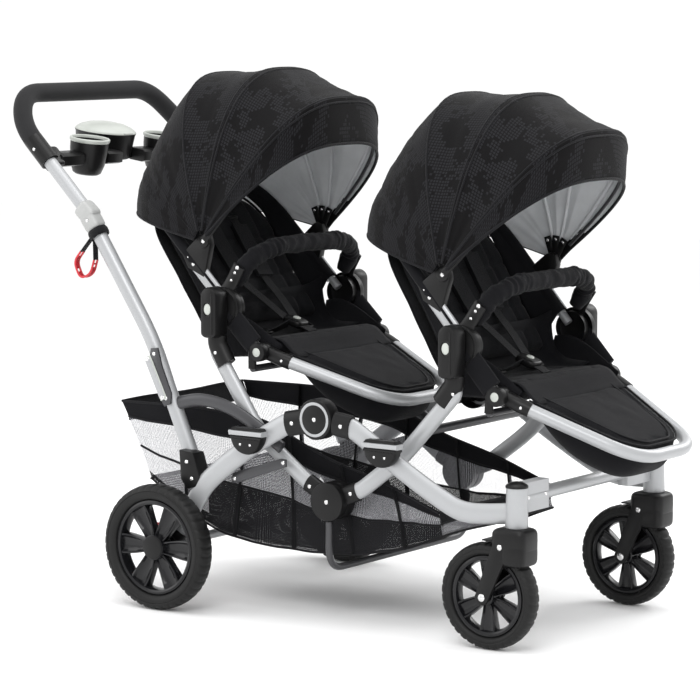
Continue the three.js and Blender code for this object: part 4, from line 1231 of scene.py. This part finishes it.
def knee_cloth(name):
    """Cloth that joins the seat base to the calf panel, over the leg rest's hinge."""
    bridge = Shape()
    path = rounded_path([(84, 0, -62), (108, 0, -65), (132, 0, -86), (150, 0, -97.5)], 16, 3)

    def point(u, v):
        here = path[round(v * (len(path) - 1))]
        return Vector((here.x, (2 * u - 1) * 168, here.z + 0.8 * math.cos(8 * u)))

    bridge.sheet(point, 30, len(path) - 1, FABRIC, lambda u, v: (u * 336, v * 80))
    piece = make_seat_piece(bridge, name, "knee_cloth", None, "black_fabric", thick=1.6)
    blend_across(piece)


def ribbon(shape, points, width, material, thick=1.8):
    """Flat webbing along points, its width turned across Y where the path allows."""
    verts, uvs, run = [], [], 0.0
    points = [Vector(p) for p in points]
    for k, here in enumerate(points):
        before, after = points[max(k - 1, 0)], points[min(k + 1, len(points) - 1)]
        tangent = (after - before).normalized()
        across = Vector((0, 1, 0)) - tangent * tangent.y
        if across.length < 0.35:
            across = Vector((1, 0, 0.4)) - tangent * tangent.dot(Vector((1, 0, 0.4)))
        across.normalize()
        up = across.cross(tangent)
        run += (here - before).length
        for a, b in ((-1, -1), (1, -1), (1, 1), (-1, 1)):
            verts.append(here + across * (a * width / 2) + up * (b * thick / 2))
            uvs.append((a * width / 2, run))
    shape.add(verts, quads(len(points), 4) + end_faces(len(points), 4), material, uvs)


def on_back(x, lift, z):
    return back_matrix() @ Vector((x, 12 + lift, z))


def harness(name):
    place = seat_matrix(name)
    straps = Shape()
    buckle = Vector((22, 0, -46))
    for side in SIDES.values():
        top = [on_back(side * 46, 0, 246), on_back(side * 46, 3.5, 232), on_back(side * 45, 4, 170),
               on_back(side * 40, 8, 90), on_back(side * 30, 26, 40), buckle + Vector((-16, side * 15, 10))]
        path = rounded_path(top, 26, 6)
        ribbon(straps, path, 25, WEBBING)
        pad_path = [p for p in path if 96 < (back_matrix().inverted() @ p).z < 226]
        for p in pad_path:
            p += Vector((1.5, 0, 1))
        ribbon(straps, pad_path, 47, PIPING, 9)
        slot_place = back_matrix() @ Vector((side * 46, 9, 246))
        straps.blob(slot_place, (9, 17, 4), BLACK, 4, tilt=-34)
    piece = straps.make(f"{name}_shoulder_straps", None, (), place, "black_fabric", smooth=50)
    blend_across(piece)
    waist = Shape()
    for side in SIDES.values():
        path = rounded_path([(-40, side * 120, -64), (-8, side * 92, -68), (8, side * 46, -58),
                             (16, side * 16, -48)], 20, 5)
        ribbon(waist, path, 24, WEBBING)
        waist.blob((-2, side * 70, -61), (15, 11, 3.2), BLACK, 4, tilt=10)
    ribbon(waist, rounded_path([(66, 0, -62), (52, 0, -56), (32, 0, -50)], 12, 4), 30, WEBBING)
    waist.blob(buckle, (24, 21, 9), BLACK, 4, tilt=16)
    press = [(0, 1.6), (6.5, 1.2), (8, 0), (8, -2)]
    waist.lathe(press, buckle + Vector((4, 0, 9.4)), (0.27, 0, 0.96), GREY, 28)
    waist.make(f"{name}_buckle_and_waist_straps", f"{name}_posts", (), place, "black_plastic")


def seat_frames(name):
    place = seat_matrix(name)
    end = BACK_TUBE_LENGTH
    along = ray(135)
    back = Shape()
    path = mirrored([along * reach + Vector((0, -BACK_TUBE_Y, 0)) for reach in (12, end)])
    back.tube(path, 9, 9, SILVER, BACK_TUBE_CORNER, 24)
    for side in SIDES.values():
        strip = [along * reach + Vector((0, side * 198.5, 0)) for reach in (40, 118)]
        back.tube(strip, 6.5, 15, SILVER, 5, 24)
        hinge_x, hinge_z = CANOPY_HINGE
        near, far = side * 205.6, side * 188
        back.plate([(-98, 74), (-56, 56), (hinge_x + 15, hinge_z - 8), (hinge_x + 10, hinge_z + 12),
                    (hinge_x, hinge_z + 17), (hinge_x - 13, hinge_z + 12), (-113, 102)], near, far, BLACK, 3)
        back.rivet(-84, near, 82, side, 4)
        back.rivet(-96, near, 96, side, 4)
        back.disc(hinge_x, side * 209, hinge_z, side, 14, 6, BLACK, rim=3, segments=32)
        back.rivet(hinge_x, side * 209, hinge_z, side, 4.5)
        back.disc(0, near, 0, side, 34, 17, BLACK, rim=3)
        for angle in (64, 88, 112):
            root = Vector((hinge_x, side * 200, hinge_z)) + ray(angle) * 6
            tip = Vector((hinge_x, side * 200, hinge_z)) + ray(angle) * 50
            back.tube([root, tip], 2.2, 8, BLACK, 4, 14)
            back.rivet(tip.x - 6 * math.cos(math.radians(angle)), side * 197.8,
                       tip.z - 8 * math.sin(math.radians(angle)), -side, 3.2)
    back.make(f"{name}_back_frame_tube", f"{name}_seat_back", [f"{name}_seat_back_frame"], place,
              "silver_tube")

    base = Shape()
    px, pz = LEG_PIVOT
    for side in SIDES.values():
        near, far = side * 222, side * 207
        base.disc(0, near, 0, side, 41, 15, BLACK, rim=3.5)
        ring = [(34, 0.2), (35, 1.6), (37.5, 1.6), (38.5, 0), (38.5, -1), (34, -1)]
        base.lathe(ring, (0, near, 0), (0, side, 0), BLACK, 56, closed=True)
        base.tube([(14, side * 213.5, -12), (px - 12, side * 213.5, pz + 14)], 9, 23, FABRIC, 6, 28)
        base.tube([(px - 26, side * 214.5, pz + 27), (px - 4, side * 214.5, pz + 4)], 7.5, 15, BLACK, 6, 24)
        base.disc(px, near, pz, side, 19, 15, BLACK, rim=3, segments=40)
        base.lathe([(0, 2.4), (6.5, 1.9), (9, 0), (9, -2)], (px, near, pz), (0, side, 0), GREY, 32)
        base.tube([(72, side * 214.5, -80), (72, side * 214.5, -119)], 7, 9, BLACK, 5, 20)
        # bumper socket: an angled arm that holds the bumper bar's end
        up = ray(BUMPER_ANGLE)
        foot = Vector((BUMPER[0], side * 203.5, BUMPER[1]))
        base.tube([foot - up * 22 + Vector((2, side * 10, 0)), foot + up * 4, foot + up * 46],
                  5.5, 15, BLACK, 20, 24)
        for lift in (12, 30):
            spot = foot + up * lift
            base.rivet(spot.x, side * 209, spot.z, side, 3.2)
        spot = foot + up * 42
        base.rivet(spot.x, side * 209, spot.z, side, 4.4)
    base.tube([(72, -214, -119), (72, 214, -119)], 7, 7, CHARCOAL, 5, 20)
    base.make(f"{name}_seat_base_plates", f"{name}_posts", [f"{name}_seat_base_frame"], place,
              "black_plastic")

    leg = Shape()
    ex, ez = LEG_END
    near = [Vector((px + 14, -192, pz - 4.5)), Vector((LEG_BEND[0], -192, LEG_BEND[1])),
            Vector((ex, -LEG_END_HALF, ez))]
    path = mirrored(near)
    leg.tube(path, 12.5, 12.5, SILVER, 70, 32)
    for side in SIDES.values():
        leg.disc(px, side * 205.3, pz, side, 18, 16, BLACK, rim=2.5, segments=36)
        sleeve = [(px + 4, side * 192, pz - 1), (px + 34, side * 192, pz - 11.5),
                  (px + 58, side * 184, pz - 20.5)]
        leg.tube(sleeve, 13.4, 14.6, BLACK, 14, 24)
        leg.rivet(px + 46, side * 201.5, pz - 16, side, 3.4)
    leg.make(f"{name}_foot_bar", f"{name}_leg_rest", [f"{name}_leg_rest_frame"], place, "silver_tube")


def bumper(name, seed):
    up = ray(BUMPER_ANGLE)
    foot = Vector((BUMPER[0], 0, BUMPER[1]))
    near = [foot + up * (BUMPER_REACH * share) + Vector((0, -185 * across, 0))
            for share, across in ((0.05, 1), (0.67, 0.99), (1, 0.64))]
    path = mirrored(near)

    def ruche(share, turn):
        """Gathered folds round the bar, pulled tight at both ends."""
        edge = min(1.0, min(share, 1 - share) * 22)
        fold = noise.noise(Vector((share * 62, math.cos(turn) * 0.8, math.sin(turn) * 0.8 + seed)))
        return edge * (1.8 + 3.4 * fold) - (1 - edge) * 2.5

    sleeve = Shape().tube(path, 16.5, 16.5, FABRIC, 60, 40, spacing=2.6, swell=ruche)
    piece = sleeve.make(f"{name}_bumper_cover", f"{name}_bumper", [f"{name}_bumper_bar"], seat_matrix(name),
                        "black_fabric", smooth=70)


BASKET_LOW = [(-113, 240), (-20, 178), (90, 138), (250, 128), (400, 134), (520, 158), (606, 192)]
BASKET_TOP = [(-186, 396), (0, 398), (180, 388), (330, 322), (470, 286), (598, 238)]


# lengthwise from and to, upwards from and to, and the cloth there
BASKET_ZONES = ((0.0, 1.0, 0.80, 1.0, FABRIC), (0.0, 0.22, 0.10, 0.80, SIDE_NET),
                (0.0, 0.22, 0.0, 0.10, FLOOR_NET), (0.22, 1.0, 0.42, 0.80, SIDE_NET),
                (0.22, 1.0, 0.0, 0.42, FLOOR_NET))


def basket():
    low = rounded_path(at_y(BASKET_LOW, 0), 60, 6)
    top = rounded_path(at_y(BASKET_TOP, 0), 50, 6)

    def along(path, share):
        spot = share * (len(path) - 1)
        k = min(int(spot), len(path) - 2)
        return path[k].lerp(path[k + 1], spot - k)

    for word, side in SIDES.items():
        wall = Shape()
        columns, rows = 96, 26

        def point(u, v):
            here = along(low, u).lerp(along(top, u), v)
            slack = math.sin(math.pi * v) * (5 + 5 * noise.noise(Vector((u * 9, v * 2, side))))
            hem = 3 * math.sin(u * 40) * (1 - v) * 0.3
            return Vector((here.x, side * (208 - slack - 6 * (1 - v)), here.z + hem))

        for left, right, start, stop, cloth_material in BASKET_ZONES:
            def spot(u, v):
                return left + (right - left) * u, start + (stop - start) * v

            wall.sheet(lambda u, v: point(*spot(u, v)), round(columns * (right - left)),
                       max(3, round(rows * (stop - start))), cloth_material,
                       lambda u, v: (spot(u, v)[0] * 800, spot(u, v)[1] * 200))
        for share in (0.0, 0.42, 0.80, 1.0):
            edge = [point(i / 64, share) for i in range(65)]
            wall.tube(edge, 1.8, 2.6, PIPING, 2, 8, spacing=30)
        for u in (0.12, 0.33, 0.52, 0.72, 0.9):
            strap = [point(u, v / 10) + Vector((0, side * 1.6, 0)) for v in range(11)]
            wall.tube(strap, 8, 1.2, WEBBING, 2, 10, spacing=30)
        piece = wall.make(f"basket_side_{word}", "rear_frame", ["basket"], slot="black_mesh", smooth=60)

    floor = Shape()

    def floor_point(u, v):
        here = along(low, u)
        across = 2 * v - 1
        sag = 7 * (1 - across * across) * math.sin(math.pi * u)
        ripple = 2.5 * noise.noise(Vector((u * 10, v * 4, 9)))
        return Vector((here.x, across * 202, here.z + 6 - sag * 0.6 + ripple))

    floor.sheet(floor_point, 80, 30, FLOOR_NET, lambda u, v: (u * 800, v * 404))
    piece = floor.make("basket_floor", "rear_frame", (), slot="black_mesh")

    ends = Shape()
    for index, band in ((0, 0.76), (-1, 0.5)):
        (x_top, z_top), (x_low, z_low) = BASKET_TOP[index], BASKET_LOW[index]

        def end_point(u, v):
            across = 2 * u - 1
            bow = 6 * (1 - across * across) * math.sin(math.pi * v)
            sign = 1 if x_top < 0 else -1
            return Vector((x_low + (x_top - x_low) * v + bow * sign, across * 205,
                           z_low + (z_top - z_low) * v + 1.5 * math.sin(9 * u)))

        for start, stop, cloth_material in ((0, band, SIDE_NET), (band, 1, FABRIC)):
            ends.sheet(lambda u, v: end_point(u, start + (stop - start) * v), 36, 8, cloth_material,
                       lambda u, v: (u * 410, v * 160))
        for share in (0.0, band, 1.0):
            ends.tube([end_point(i / 30, share) for i in range(31)], 1.8, 2.4, PIPING, 2, 8, spacing=30)
    piece = ends.make("basket_ends", "rear_frame", (), slot="black_mesh")


# ------------------------------------------------------------------ studio
CAMERA = {"target": (244.147, 0, 510.215), "azimuth": 35.14, "elevation": 6.51, "distance": 6.0915,
          "sensor": 36, "lens": 153.84}
LAMPS = {"key": ((1.6, -3.4, 3.4), 70, 2.0), "fill": ((-3.2, -2.2, 2.0), 30, 2.6),
         "rim": ((1.2, 3.4, 2.8), 55, 2.0), "top": ((0.0, 0.0, 4.2), 60, 2.4)}
LAMP_TARGET = Vector((0, 0, 0.5))
FLOOR_HALF, WORLD_STRENGTH = 9, 1.03


def aim(holder, direction):
    """Turns a camera or lamp so that it looks against the given direction."""
    holder.rotation_euler = direction.to_track_quat("Z", "Y").to_euler()


def studio():
    scene = bpy.context.scene
    azimuth, elevation = math.radians(CAMERA["azimuth"]), math.radians(CAMERA["elevation"])
    back = Vector((math.sin(azimuth) * math.cos(elevation), -math.cos(azimuth) * math.cos(elevation),
                   math.sin(elevation)))
    camera = link(bpy.data.objects.new("camera", bpy.data.cameras.new("camera")))
    camera.location = ROW @ Vector(CAMERA["target"]) + back * CAMERA["distance"]
    aim(camera, back)
    camera.data.sensor_width = CAMERA["sensor"]
    camera.data.lens = CAMERA["lens"]
    scene.camera = camera

    floor = bpy.data.meshes.new("studio_floor")
    corners = [(x * FLOOR_HALF, y * FLOOR_HALF, 0) for x, y in ((-1, -1), (1, -1), (1, 1), (-1, 1))]
    floor.from_pydata(corners, [], [(0, 1, 2, 3)])
    floor.materials.append(shader("studio_paper", (0.97, 0.97, 0.97), 0.9, spec=0.1)[0])
    link(bpy.data.objects.new("studio_floor", floor))

    world = bpy.data.worlds.new("studio_world")
    world.use_nodes = True
    background = world.node_tree.nodes["Background"]
    background.inputs["Color"].default_value = (1, 1, 1, 1)
    background.inputs["Strength"].default_value = WORLD_STRENGTH
    scene.world = world
    scene.view_settings.view_transform = "Standard"
    for label, (where, power, size) in LAMPS.items():
        lamp = bpy.data.lights.new(label, "AREA")
        lamp.energy = power
        lamp.size = size
        holder = link(bpy.data.objects.new(label, lamp))
        holder.location = where
        aim(holder, Vector(where) - LAMP_TARGET)


# ------------------------------------------------------------------ build
studio()
for word, side in SIDES.items():
    wheel(f"rear_wheel_{word}", REAR_WHEEL, side, f"rear_wheel_{word}", 0)
    wheel(f"front_wheel_{word}", FRONT_WHEEL, side, f"front_wheel_{word}", 30)
    rear_leg(word, side)
    upper_hub(word, side)
    caster(word, side)
    push_tube(word, side)
    side_arm(word, side)
front_frame()
posts_cross_pieces()
rear_axle()
brake_pedal()
fold_lever()
handle()
tray()
wrist_strap()
basket()
back_form, base_form, leg_form = back_pad_form(), base_pad_form(), leg_pad_form()
for seed, name in enumerate(SEATS):
    place = seat_matrix(name)
    posts(name)
    for word, side in SIDES.items():
        release(name, word, side)
    seat_frames(name)
    pad(name, "back_cushion", back_form, "seat_back", "seat_back_pad", place @ back_matrix())
    pad(name, "base_cushion", base_form, "posts", "seat_base_pad", place)
    pad(name, "calf_panel", leg_form, "leg_rest", "leg_rest_pad", place)
    seat_piping(name)
    back_shell(name)
    side_wings(name)
    knee_cloth(name)
    seat_corner(name)
    harness(name)
    bumper(name, seed * 3)
    canopy(name, seed * 11 + 2)
    canopy_bow(name)
